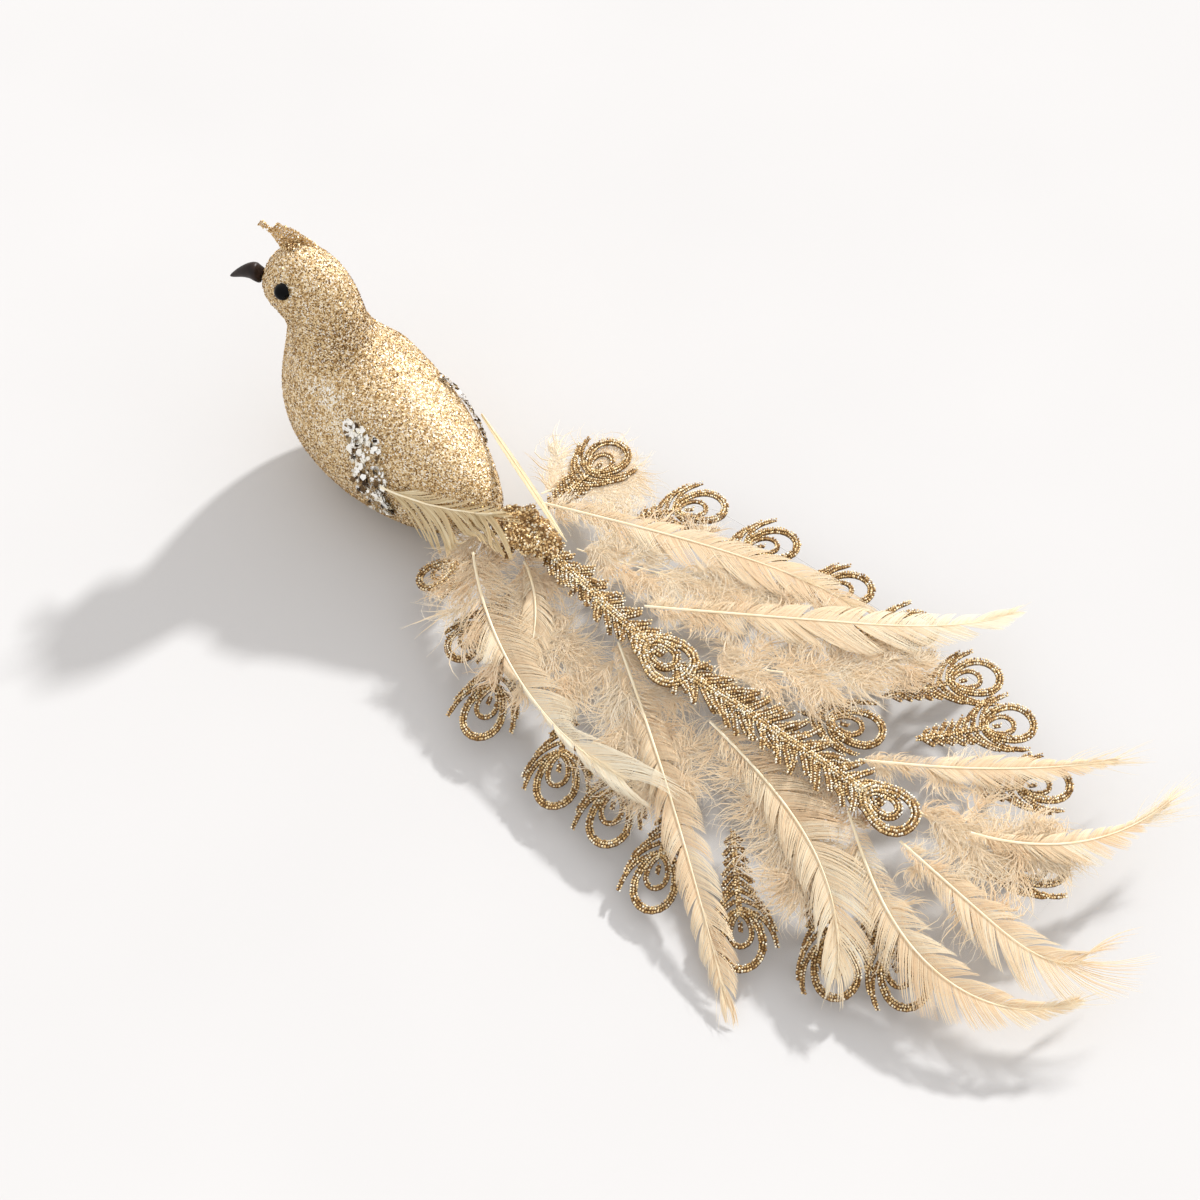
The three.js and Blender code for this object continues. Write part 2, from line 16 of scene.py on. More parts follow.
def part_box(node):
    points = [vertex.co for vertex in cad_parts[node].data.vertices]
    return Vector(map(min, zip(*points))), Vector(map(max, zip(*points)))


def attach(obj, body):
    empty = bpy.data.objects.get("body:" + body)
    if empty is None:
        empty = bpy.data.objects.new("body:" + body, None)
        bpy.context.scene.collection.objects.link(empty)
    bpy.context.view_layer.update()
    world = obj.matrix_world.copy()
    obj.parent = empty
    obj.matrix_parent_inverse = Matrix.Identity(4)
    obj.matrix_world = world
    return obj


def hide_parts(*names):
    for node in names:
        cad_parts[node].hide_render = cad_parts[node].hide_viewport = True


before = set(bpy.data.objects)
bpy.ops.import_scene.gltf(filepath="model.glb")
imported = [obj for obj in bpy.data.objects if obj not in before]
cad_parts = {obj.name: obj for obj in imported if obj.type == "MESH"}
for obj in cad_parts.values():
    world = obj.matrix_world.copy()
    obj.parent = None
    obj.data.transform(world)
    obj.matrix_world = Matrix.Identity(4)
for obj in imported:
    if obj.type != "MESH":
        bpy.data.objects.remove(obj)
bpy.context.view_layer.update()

# %% [markdown]
# The source draws the bird round its own middle and then centres the whole ornament. The
# film's low corner tells how far that moved everything.

# %% From the source's millimetres to the frame
MM = 0.001
BELLY_FLAT = 1.5
SPINE_Y = -6.0
film_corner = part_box("tail_film")[0]
SHIFT = np.array([film_corner[0] / MM - 62.0, film_corner[1] / MM + 64.0, -BELLY_FLAT])
chance = np.random.default_rng(11)


def placed(points):
    return (np.asarray(points, float) + SHIFT) * MM


print("shift in mm", np.round(SHIFT, 3))

# %% [markdown]
# ## Camera
# The photo looks down on the ornament from its left rear, through a long lens. The camera
# is made first, from the three directions of its own axes.

# %% Camera
VIEW_RIGHT = Vector((0.747, 0.665, 0.0)).normalized()
VIEW_BACK = Vector((0.382, -0.428, 0.819)).normalized()
VIEW_UP = VIEW_BACK.cross(VIEW_RIGHT).normalized()
CAMERA_AT = Vector(placed([371.73, -308.03, 601.79]))
eye = bpy.data.cameras.new("studio_camera")
eye.lens = 70.0
eye.sensor_width = 36.0
eye.clip_start = 0.01
camera = bpy.data.objects.new("studio_camera", eye)
bpy.context.scene.collection.objects.link(camera)
turned = Matrix((VIEW_RIGHT, VIEW_UP, VIEW_BACK)).transposed().to_4x4()
camera.matrix_world = Matrix.Translation(CAMERA_AT) @ turned
bpy.context.scene.camera = camera
print("camera at", [round(v, 3) for v in CAMERA_AT])

# %% [markdown]
# ## Floor and light
# A plain pale floor, one soft sun from the bird's right, low enough to throw a long
# shadow, and a pale room all round that fills the shadows in.

# %% Floor and light
bpy.ops.object.select_all(action="DESELECT")
bpy.ops.mesh.primitive_plane_add(size=6.0, location=(0, 0, 0))
floor = bpy.context.object
floor.name = "floor"
SUN_TO = Vector((0.07, -0.996, -math.tan(math.radians(32.0)))).normalized()
sun = bpy.data.lights.new("sun", "SUN")
sun.energy = 3.2
sun.angle = math.radians(4.0)
sun.color = (1.0, 0.99, 0.98)
sun_object = bpy.data.objects.new("sun", sun)
bpy.context.scene.collection.objects.link(sun_object)
sun_object.rotation_euler = SUN_TO.to_track_quat("-Z", "Y").to_euler()
room = bpy.data.worlds.new("room")
bpy.context.scene.world = room
room.use_nodes = True
room.node_tree.nodes["Background"].inputs["Color"].default_value = (1.0, 0.97, 0.955, 1)
room.node_tree.nodes["Background"].inputs["Strength"].default_value = 0.92
bpy.context.scene.view_settings.view_transform = "Standard"
print("sun goes towards", [round(v, 2) for v in SUN_TO])

# %% [markdown]
# ## Materials
# Each material is a small node tree. A short helper adds a node and joins it up, so that a
# recipe reads from its pattern to its shader.


# %% Helpers for node trees
def new_material(name):
    material = bpy.data.materials.new(name)
    material.use_nodes = True
    tree = material.node_tree
    return material, tree, tree.nodes["Principled BSDF"]


def node(tree, kind, inputs=None, **settings):
    made = tree.nodes.new(kind)
    for key, value in settings.items():
        setattr(made, key, value)
    for key, value in (inputs or {}).items():
        if isinstance(value, bpy.types.NodeSocket):
            tree.links.new(value, made.inputs[key])
        else:
            made.inputs[key].default_value = value
    return made


def ramp(tree, factor, stops):
    made = node(tree, "ShaderNodeValToRGB", {"Fac": factor})
    while len(made.color_ramp.elements) < len(stops):
        made.color_ramp.elements.new(0.5)
    for element, (at, color) in zip(made.color_ramp.elements, stops):
        element.position = at
        element.color = (*color, 1.0)
    return made.outputs["Color"]


def where(tree):
    """A place on the piece. All pieces sit at the origin, so it is a place on the ornament."""
    return node(tree, "ShaderNodeTexCoord").outputs["Object"]


def noise(tree, scale, detail=2.0):
    return node(tree, "ShaderNodeTexNoise", {"Vector": where(tree), "Scale": scale, "Detail": detail}).outputs["Fac"]


def paint(tree, shader, pattern, stops):
    """Colours the shader by a ramp over a pattern."""
    color = ramp(tree, pattern, stops)
    tree.links.new(color, shader.inputs["Base Color"])
    return color


def relief(tree, shader, pattern, strength, distance):
    """Lets a pattern tilt the surface, as fine dents do."""
    bump = node(tree, "ShaderNodeBump", {"Height": pattern, "Strength": strength, "Distance": distance})
    tree.links.new(bump.outputs["Normal"], shader.inputs["Normal"])


def dull(tree, shader, pattern, low, high):
    """Lets a pattern vary the roughness between two values."""
    span = node(tree, "ShaderNodeMapRange", {"Value": pattern, "To Min": low, "To Max": high})
    tree.links.new(span.outputs["Result"], shader.inputs["Roughness"])


# %% [markdown]
# Glitter is a bed of tiny flat grains, each tilted its own way and each with its own shade.
# A Voronoi texture gives such cells. Its random colour picks the shade, and a bump made
# from it tilts the grains. The same effect is used on body, cord and crest, so it is a group.

# %% The glitter grain group
grain = bpy.data.node_groups.new("glitter_grain", "ShaderNodeTree")
for name, kind, way in (
    ("Vector", "NodeSocketVector", "INPUT"), ("Grains per metre", "NodeSocketFloat", "INPUT"),
    ("Shade", "NodeSocketFloat", "OUTPUT"), ("Height", "NodeSocketFloat", "OUTPUT"),
):
    grain.interface.new_socket(name, in_out=way, socket_type=kind)
g_in = grain.nodes.new("NodeGroupInput")
g_out = grain.nodes.new("NodeGroupOutput")
cells = grain.nodes.new("ShaderNodeTexVoronoi")
cells.feature = "F1"
split = grain.nodes.new("ShaderNodeSeparateColor")
grain.links.new(g_in.outputs["Vector"], cells.inputs["Vector"])
grain.links.new(g_in.outputs["Grains per metre"], cells.inputs["Scale"])
grain.links.new(cells.outputs["Color"], split.inputs["Color"])
grain.links.new(split.outputs["Red"], g_out.inputs["Shade"])
grain.links.new(split.outputs["Green"], g_out.inputs["Height"])
print("group glitter_grain has", len(grain.nodes), "nodes")


# %% Glitter materials
def glitter(name, grains, stops, rough, metal, bump):
    material, tree, shader = new_material(name)
    cells = node(tree, "ShaderNodeGroup", node_tree=grain)
    cells.inputs["Grains per metre"].default_value = grains
    tree.links.new(where(tree), cells.inputs["Vector"])
    paint(tree, shader, cells.outputs["Shade"], stops)
    relief(tree, shader, cells.outputs["Height"], bump, 0.0003)
    shader.inputs["Metallic"].default_value = metal
    shader.inputs["Roughness"].default_value = rough
    return material


def tone_of(tree):
    """The shade that each grain, bead, barb or hair carries, from 0 for dark to 1 for pale."""
    return node(tree, "ShaderNodeAttribute", attribute_name="tone").outputs["Fac"]


def grain_material(name, stops, rough, metal):
    material, tree, shader = new_material(name)
    paint(tree, shader, tone_of(tree), stops)
    dull(tree, shader, noise(tree, 900.0), rough - 0.08, rough + 0.14)
    shader.inputs["Metallic"].default_value = metal
    return material


CHAMPAGNE = [(0.0, (0.17, 0.085, 0.02)), (0.2, (0.42, 0.24, 0.08)), (0.45, (0.72, 0.52, 0.25)),
             (0.74, (0.94, 0.77, 0.49)), (1.0, (1.0, 0.99, 0.93))]
GOLD = [(0.0, (0.24, 0.13, 0.04)), (0.2, (0.5, 0.31, 0.12)), (0.5, (0.82, 0.6, 0.3)),
        (0.78, (1.0, 0.82, 0.5)), (1.0, (1.0, 0.97, 0.84))]
body_look = glitter("champagne_glitter", 2600.0, CHAMPAGNE, 0.6, 0.2, 0.9)
grain_look = grain_material("champagne_grains", CHAMPAGNE, 0.34, 0.8)
DARK_GOLD = [(0.0, (0.13, 0.065, 0.02)), (1.0, (0.4, 0.23, 0.09))]
cord_look = glitter("gold_cord_core", 2200.0, DARK_GOLD, 0.6, 0.4, 0.6)
bead_look = grain_material("gold_cord_beads", GOLD, 0.42, 0.7)
print("glitter materials:", body_look.name, grain_look.name, cord_look.name, bead_look.name)

# %% [markdown]
# ## Meshes made of many small parts
# Barbs, hairs, cords and grains come in thousands. Modelling one and copying it thousands
# of times is slow, so they are drawn as arrays of numbers: each strand is a thin bar with
# three sides that follows a path, closed at both ends, and a grain is a small solid.


# %% Strands, grains and the piece they make
UP = np.array([0.0, 0.0, 1.0])
NO_QUADS = np.zeros((0, 4), int)


def unit(arrows):
    return arrows / (np.linalg.norm(arrows, axis=-1, keepdims=True) + 1e-9)


def walk(headings, step):
    """How far along and aside a path has come after each step of its turning headings."""
    start = np.zeros_like(headings[..., :1])
    along = np.cumsum(np.cos(headings[..., :-1]) * step, axis=-1)
    aside = np.cumsum(np.sin(headings[..., :-1]) * step, axis=-1)
    return np.concatenate([start, along], axis=-1), np.concatenate([start, aside], axis=-1)


def strands(paths, widths, heights, tones):
    """Bars with three sides along paths [strand, step, xyz]."""
    count, steps = paths.shape[:2]
    full = np.zeros((count, steps))
    widths, heights, tones = widths + full, heights + full, np.clip(tones, 0, 1) + full
    ahead = unit(np.gradient(paths, axis=1))
    side = unit(np.cross(UP, ahead))
    top = np.cross(ahead, side)
    half = side * (widths[..., None] / 2)
    ring = np.stack([paths - half, paths + half, paths + top * heights[..., None]], axis=2)
    index = np.arange(count * steps * 3).reshape(count, steps, 3)
    back, front = index[:, :-1], index[:, 1:]
    sides = ((0, 1), (1, 2), (2, 0))
    quads = [np.stack([back[..., m], back[..., n], front[..., n], front[..., m]], axis=-1) for m, n in sides]
    ends = np.concatenate([index[:, 0, [0, 2, 1]], index[:, -1, [0, 1, 2]]])
    return ring.reshape(-1, 3), np.stack(quads).reshape(-1, 4), ends, np.repeat(tones, 3)


def crooked(normals, tilt):
    """For each normal a direction near it, and two across it turned by chance."""
    away = unit(normals + tilt * chance.normal(size=normals.shape))
    u = unit(np.cross(away, chance.normal(size=normals.shape)))
    return away, u, np.cross(away, u)


THIRDS = (0.0, 2.094, 4.189)


def grains(points, normals, size, tones, tilt):
    """Small solids with four faces: one flat face looks out, the point is buried."""
    away, u, v = crooked(normals, tilt)
    size = size[:, None]
    corners = [points + size * (math.cos(a) * u + math.sin(a) * v) for a in THIRDS]
    corners.append(points - away * size * 0.7)
    verts = np.stack(corners, axis=1).reshape(-1, 3)
    base = np.arange(len(points))[:, None] * 4
    tris = np.concatenate([base + np.array(t) for t in ((0, 1, 2), (0, 3, 1), (1, 3, 2), (2, 3, 0))])
    return verts, NO_QUADS, tris, np.repeat(tones, 4)


def beads(points, size, tones):
    """Small crooked solids with eight faces."""
    count = len(points)
    turned, _ = np.linalg.qr(chance.normal(size=(count, 3, 3)))
    turned *= np.sign(np.linalg.det(turned))[:, None, None]
    corners = np.array([[1, 0, 0], [-1, 0, 0], [0, 1, 0], [0, -1, 0], [0, 0, 1], [0, 0, -1]], float)
    shape = corners[None] * (size[:, None, None] * chance.uniform(0.75, 1.2, (count, 6, 1)))
    verts = points[:, None] + np.einsum("nij,nkj->nki", turned, shape)
    faces = np.array([[0, 2, 4], [2, 1, 4], [1, 3, 4], [3, 0, 4], [2, 0, 5], [1, 2, 5], [3, 1, 5], [0, 3, 5]])
    tris = (np.arange(count)[:, None, None] * 6 + faces[None]).reshape(-1, 3)
    return verts.reshape(-1, 3), NO_QUADS, tris, np.repeat(tones, 6)


OFF_FLOOR = 0.00002


def piece(name, parts, looks, stands_for=(), smooth=False):
    """Makes one object of parts, each given with the number of the look that it wears."""
    verts, quads, tris, tones, quad_look, tri_look = [], [], [], [], [], []
    count = 0
    for number, (v, q, t, tone) in parts:
        verts.append(v)
        quads.append(q + count)
        tris.append(t + count)
        tones.append(tone)
        quad_look.append(np.full(len(q), number))
        tri_look.append(np.full(len(t), number))
        count += len(v)
    quads, tris = np.concatenate(quads), np.concatenate(tris)
    points = placed(np.concatenate(verts))
    points[:, 2] = np.maximum(points[:, 2], OFF_FLOOR)
    loops = np.concatenate([quads.ravel(), tris.ravel()]).astype(np.int32)
    starts = np.concatenate([np.arange(len(quads)) * 4, len(quads) * 4 + np.arange(len(tris)) * 3])
    mesh = bpy.data.meshes.new(name)
    mesh.vertices.add(len(points))
    mesh.vertices.foreach_set("co", points.astype(np.float32).ravel())
    mesh.loops.add(len(loops))
    mesh.loops.foreach_set("vertex_index", loops)
    mesh.polygons.add(len(starts))
    mesh.polygons.foreach_set("loop_start", starts.astype(np.int32))
    for look in looks:
        mesh.materials.append(look)
    mesh.polygons.foreach_set("material_index", np.concatenate(quad_look + tri_look).astype(np.int32))
    mesh.polygons.foreach_set("use_smooth", np.full(len(starts), smooth))
    mesh.update(calc_edges=True)
    shades = mesh.attributes.new("tone", "FLOAT", "POINT")
    shades.data.foreach_set("value", np.concatenate(tones).astype(np.float32))
    made = bpy.data.objects.new(name, mesh)
    bpy.context.scene.collection.objects.link(made)
    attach(made, "root")
    if stands_for:
        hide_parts(*stands_for)
    print(name, "has", len(quads) * 2 + len(tris), "triangles")
    return made


# %% [markdown]
# ## Body
# The foam form is smooth under its glitter. A copy of the solid is welded and subdivided
# to round it off. The glitter that makes its outline rough is scattered over it as real
# grains, each a facet that catches the light by itself.


# %% Smooth copies of solids
def smooth_copy(name, source, levels, look):
    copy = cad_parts[source].copy()
    copy.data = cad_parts[source].data.copy()
    copy.name = name
    bpy.context.scene.collection.objects.link(copy)
    bpy.ops.object.select_all(action="DESELECT")
    copy.select_set(True)
    bpy.context.view_layer.objects.active = copy
    copy.parent = None
    bpy.ops.object.mode_set(mode="EDIT")
    bpy.ops.mesh.select_all(action="SELECT")
    bpy.ops.mesh.remove_doubles(threshold=0.00002)
    bpy.ops.mesh.tris_convert_to_quads(face_threshold=math.radians(30), shape_threshold=math.radians(50))
    bpy.ops.object.mode_set(mode="OBJECT")
    rounded = copy.modifiers.new("rounded", "SUBSURF")
    rounded.levels = rounded.render_levels = levels
    bpy.ops.object.modifier_apply(modifier="rounded")
    bpy.ops.object.shade_smooth()
    copy.data.materials.clear()
    copy.data.materials.append(look)
    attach(copy, "root")
    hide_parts(source)
    print(name, "has", len(copy.data.polygons), "faces")
    return copy


body = smooth_copy("body_skin", "body", 2, body_look)
# the rounding bulges the flat belly a little, so it is pressed back to the table
for vertex in body.data.vertices:
    vertex.co.z = max(vertex.co.z, 0.0)


# %% Scatter over a mesh
def scatter(mesh_object, count):
    mesh = mesh_object.data
    mesh.calc_loop_triangles()
    corners = np.zeros(len(mesh.loop_triangles) * 3, np.int32)
    mesh.loop_triangles.foreach_get("vertices", corners)
    at = np.zeros(len(mesh.vertices) * 3, np.float32)
    mesh.vertices.foreach_get("co", at)
    at = at.reshape(-1, 3).astype(float)[corners.reshape(-1, 3)]
    cross = np.cross(at[:, 1] - at[:, 0], at[:, 2] - at[:, 0])
    area = np.linalg.norm(cross, axis=1)
    chosen = chance.choice(len(area), size=count, p=area / area.sum())
    a, b = chance.random(count), chance.random(count)
    over = a + b > 1
    a[over], b[over] = 1 - a[over], 1 - b[over]
    tri = at[chosen]
    points = tri[:, 0] + a[:, None] * (tri[:, 1] - tri[:, 0]) + b[:, None] * (tri[:, 2] - tri[:, 0])
    return points / MM - SHIFT, cross[chosen] / (area[chosen, None] + 1e-12), area.sum() / 2 / MM / MM


def patchy(points, size):
    """A slow change of shade over the form, from a few waves."""
    x, y, z = (points / size).T
    return (np.sin(x * 1.7 + 2 * np.sin(y * 1.3)) + np.sin(z * 2.1 + y) + np.sin(x - z * 1.4)) / 3


# Grains are darker on the nape, the rear and the underside as painted shade, and paler in two streaks on the flanks
# as painted glints.
BODY_GRAINS = 30500
points, normals, skin_area = scatter(body, BODY_GRAINS)
above = points[:, 2] > BELLY_FLAT + 0.35
points, normals = points[above], normals[above]
shade = chance.beta(1.1, 1.0, len(points))
# painted shade: grains are made darker in the hollow of the nape, towards the rear and on the underside
nape = np.exp(-(((points[:, 2] - 57) / 7) ** 2)) * np.clip(normals[:, 0] + 0.5, 0, 1)
rear = np.clip((points[:, 0] - 46) / 12, 0, 1)
under = np.clip((34 - points[:, 2]) / 30, 0, 1)
down_flank = np.degrees(np.arctan2(-points[:, 1] - 2, points[:, 2] - 25))
# painted glints: a pale streak low on the left flank, and the next line adds one high on the right
painted_glints = np.exp(-(((down_flank - 38 - 1.2 * points[:, 0]) / 14) ** 2) - ((points[:, 0] + 1) / 12) ** 2)
painted_glints += 0.8 * np.exp(-(((down_flank + 15) / 14) ** 2) - ((points[:, 0] - 24) / 14) ** 2)
head = np.clip((points[:, 2] - 56) / 8, 0, 1)
shade -= 0.06 + 0.12 * head + 0.6 * nape + 0.45 * rear + 0.2 * under
shade += 0.7 * painted_glints * (0.8 + patchy(points, 4)) + 0.05 * patchy(points, 6)
size = chance.uniform(0.3, 0.48, len(points))
grain_parts = grains(points + normals * 0.05, normals, size, np.clip(shade, 0, 1), 0.5)
piece("body_glitter", [(0, grain_parts)], [grain_look])
print("body skin", round(skin_area), "square mm")

# %% [markdown]
# ## Beak and eyes
# The beak is moulded plastic with a soft gloss, the eyes are glass-like black beads.

# %% Beak and eyes
beak_look, tree, shader = new_material("beak_plastic")
rub = noise(tree, 420.0, 4.0)
paint(tree, shader, rub, [(0.3, (0.009, 0.004, 0.003)), (0.7, (0.028, 0.014, 0.01))])
relief(tree, shader, rub, 0.25, 0.0002)
shader.inputs["Roughness"].default_value = 0.42
shader.inputs["Specular IOR Level"].default_value = 0.28
beak = smooth_copy("beak_moulded", "beak", 2, beak_look)
# The rounding blunts the copy. Here along runs from 0 at the base to 1 at the tip, the
# sections are made fuller or slimmer about their middles, the tip is drawn out and the
# middle raised, which gives the beak its hook.
at = np.empty(len(beak.data.vertices) * 3)
beak.data.vertices.foreach_get("co", at)
at = at.reshape(-1, 3)
along = (at[:, 0].max() - at[:, 0]) / np.ptp(at[:, 0])
near = np.abs(along[:, None] - along[None]) < 0.1
slim = np.interp(along, [0, 0.12, 0.3, 0.65, 0.9, 1], [1.7, 1.3, 1.0, 0.86, 0.8, 0.8])
for axis in (1, 2):
    high, low = np.where(near, at[:, axis], -1).max(axis=1), np.where(near, at[:, axis], 1).min(axis=1)
    middle = (high + low) / 2
    at[:, axis] = middle + (at[:, axis] - middle) * slim
at[:, 0] -= 0.6 * MM * along ** 3
at[:, 2] += 0.8 * MM * np.sin(math.pi * along)
beak.data.vertices.foreach_set("co", at.ravel())
beak.data.update()
print("beak is", round(float(np.ptp(at[:, 0])) / MM, 1), "mm long")

bead_black, tree, shader = new_material("black_bead")
paint(tree, shader, noise(tree, 260.0), [(0.4, (0.001, 0.001, 0.0015)), (0.7, (0.004, 0.004, 0.005))])
shader.inputs["Roughness"].default_value = 0.08
shader.inputs["Specular IOR Level"].default_value = 0.08
shader.inputs["Coat Weight"].default_value = 0.03
for side in ("left", "right"):
    smooth_copy("bead_eye_" + side, "eye_" + side, 2, bead_black)

# %% [markdown]
# ## The tail's surface
# The tail lies over a low ridge that falls away to both sides. Everything on it is drawn
# flat and then laid on that surface at its own layer, as in the source.

# %% The tail's surface
RIDGE = np.array([[55, 21], [125, 21], [160, 22], [205, 21], [250, 17], [285, 13]], float)
FALL_LEFT, FALL_RIGHT, HALF_SPAN = 12.0, 4.0, 50.0
LAYER_SPRAY, LAYER_DOWN, LAYER_LOW, LAYER_HIGH, LAYER_SPINE = 0.8, 2.2, 3.6, 4.8, 6.4


def tail_height(x, y):
    fall = np.where(y < SPINE_Y, FALL_LEFT, FALL_RIGHT)
    return np.interp(x, RIDGE[:, 0], RIDGE[:, 1]) - fall * (np.abs(y - SPINE_Y) / HALF_SPAN) ** 1.5


def turned_path(path, aim, x, y):
    """A path drawn along x, turned to its aim in degrees and moved to its root."""
    a = math.radians(aim)
    u, v = path[..., 0], path[..., 1]
    return np.stack([x + u * math.cos(a) - v * math.sin(a), y + u * math.sin(a) + v * math.cos(a)], axis=-1)


print("ridge over the floor, in mm", tail_height(np.array([60.0, 150.0, 280.0]), SPINE_Y))

# %% [markdown]
# ## Sprays of beaded cord
# Each spray is a stalk with slanting side cords and a drop-shaped eye. The cord is a dark
# core with two or three rows of coarse gold glitter beads, set a little apart so that the dark shows
# between them.

# %% Cord
BEAD_STEP = 0.74


def resample(path, count):
    """The same path with evenly spaced points, and its length."""
    run = np.concatenate([[0], np.cumsum(np.linalg.norm(np.diff(path, axis=0), axis=1))])
    at = np.linspace(0, run[-1], count)
    return np.stack([np.interp(at, run, path[:, k]) for k in range(path.shape[1])], axis=1), run[-1]


def cord(path, width, layer, bright=0.0, rise=0.0):
    """A flat path [n, 2] made into a core strand and rows of beads. Its end is raised."""
    even, length = resample(path, 9 if len(path) < 12 else 22)
    z = tail_height(even[:, 0], even[:, 1]) + layer
    line = np.column_stack([even, z + np.linspace(0, rise, len(even))])
    taper = np.ones(len(line))
    taper[0] = taper[-1] = 0.4
    core = strands(line[None], width * 0.8 * taper, width * 0.28 * taper, 0.0)
    count = max(3, int(length / BEAD_STEP))
    along, _ = resample(line, count)
    ahead = unit(np.gradient(along, axis=0))
    side = np.cross(UP, ahead)
    rows = []
    for row in (-1, 0, 1) if width > 2.5 else (-0.75, 0.75):
        wobble = chance.uniform(-0.1, 0.1, (count, 3))
        height = width * 0.3 + (0.25 if row == 0 else 0.0)
        beside = side * (row * width * 0.33) + ahead * (row * BEAD_STEP * 0.3)
        rows.append(along + beside + wobble + UP * height)
    at = np.concatenate(rows)
    tone = np.clip(chance.beta(1.2, 0.9, len(at)) + bright, 0, 1)
    return core, beads(at, chance.uniform(0.36, 0.5, len(at)) * (0.72 + width / 8), tone)


def drop(length, width, start):
    """The drop-shaped loop of an eye, from its stalk and back."""
    turn = np.linspace(0, 2 * math.pi, 26)
    along = (length / 2) * (1 - np.cos(turn)) + start
    return np.column_stack([along, -(width / 2) * np.sin(turn) * (1 - 0.22 * np.cos(turn))])


def side_cord(start, angle, length, curl, side):
    """A cord that leaves the stalk at an angle and curls back towards the stalk's way."""
    t = np.linspace(0, 1, 7)
    along, aside = walk(np.radians(angle - curl * t), length / 6)
    return np.column_stack([start + along, side * aside])


def cord_piece(name, paths, place, layer, bright=0.0):
    """One spray: each path is given with its width and how far its end is raised."""
    parts = []
    for path, width, rise in paths:
        core, bead = cord(turned_path(path, *place), width, layer, bright, rise)
        parts += [(0, core), (1, bead)]
    piece("cord_" + name, parts, [cord_look, bead_look], [name], smooth=True)


def straight(start, end):
    return np.array([[start, 0.0], [end, 0.0]])


# %% Rim sprays
# Three cords on each side embrace the eye: back from the stalk's end, length as a share of
# the eye's, slant and curl in degrees. Below them short barbs follow down the stalk.
EMBRACING = ((0.4, 1.08, 72, 78), (3.2, 0.95, 70, 64), (6.0, 0.72, 62, 42))
FIRST_BARB, BARB_SPACING = 8.8, 2.55


def spray_piece(name, x, y, aim, stalk, eye=16.0, wide=11.5, sides=(-1, 1)):
    paths = [(straight(0.0, stalk + 0.8), 2.3, 0.0), (drop(eye, wide, stalk), 2.7, 0.0),
             (drop(eye * 0.56, wide * 0.52, stalk + 0.9), 2.0, 0.0),
             (straight(stalk + eye * 0.2, stalk + eye * 0.36), 1.8, 0.0)]
    for side in sides:
        for back, share, slant, curl in EMBRACING:
            length = eye * share * chance.uniform(0.9, 1.05)
            paths.append((side_cord(stalk - back, slant, length, curl, side), 1.9, 0.0))
        start = stalk - FIRST_BARB
        while start > 0.6:
            length = (3.6 + 5.0 * start / stalk) * chance.uniform(0.85, 1.1)
            paths.append((side_cord(start, 50, length, 8, side), 2.05, 0.0))
            start -= BARB_SPACING
    cord_piece(name, paths, (aim, x, y), LAYER_SPRAY)


RIM = {
    "eye_spray_left_1": dict(x=61, y=-17, aim=-112, stalk=7, eye=12, wide=7, sides=(1,)),
    "eye_spray_left_2": dict(x=79, y=-20, aim=-92, stalk=14, eye=12, wide=9),
    "eye_spray_left_3": dict(x=90, y=-31, aim=-70, stalk=15),
    "eye_spray_left_4": dict(x=117, y=-36, aim=-57, stalk=15),
    "eye_spray_left_5": dict(x=138, y=-34, aim=-60, stalk=16),
    "eye_spray_left_6": dict(x=161, y=-39, aim=-62, stalk=17),
    "eye_spray_left_7": dict(x=181, y=-37, aim=-45, stalk=23),
    "eye_spray_left_8": dict(x=206, y=-34, aim=-34, stalk=19),
    "eye_spray_left_9": dict(x=226, y=-33, aim=-20, stalk=12),
    "eye_spray_right_1": dict(x=66, y=10, aim=92, stalk=21),
    "eye_spray_right_2": dict(x=88, y=27, aim=56, stalk=13),
    "eye_spray_right_3": dict(x=112, y=31, aim=52, stalk=14),
    "eye_spray_right_4": dict(x=138, y=33, aim=48, stalk=15),
    "eye_spray_right_5": dict(x=163, y=31, aim=56, stalk=17),
    "eye_spray_right_6": dict(x=186, y=25, aim=58, stalk=22),
    "eye_spray_right_7": dict(x=203, y=20, aim=57, stalk=21),
    "eye_spray_right_8": dict(x=226, y=18, aim=54, stalk=13),
    "eye_spray_right_9": dict(x=245, y=-2, aim=58, stalk=8),
    "eye_spray_middle": dict(x=172, y=4, aim=24, stalk=9),
}
for name, place in RIM.items():
    spray_piece(name, **place)


# %% [markdown]
# The three sprays down the spine are denser, with paler beads that stand up like a plume.

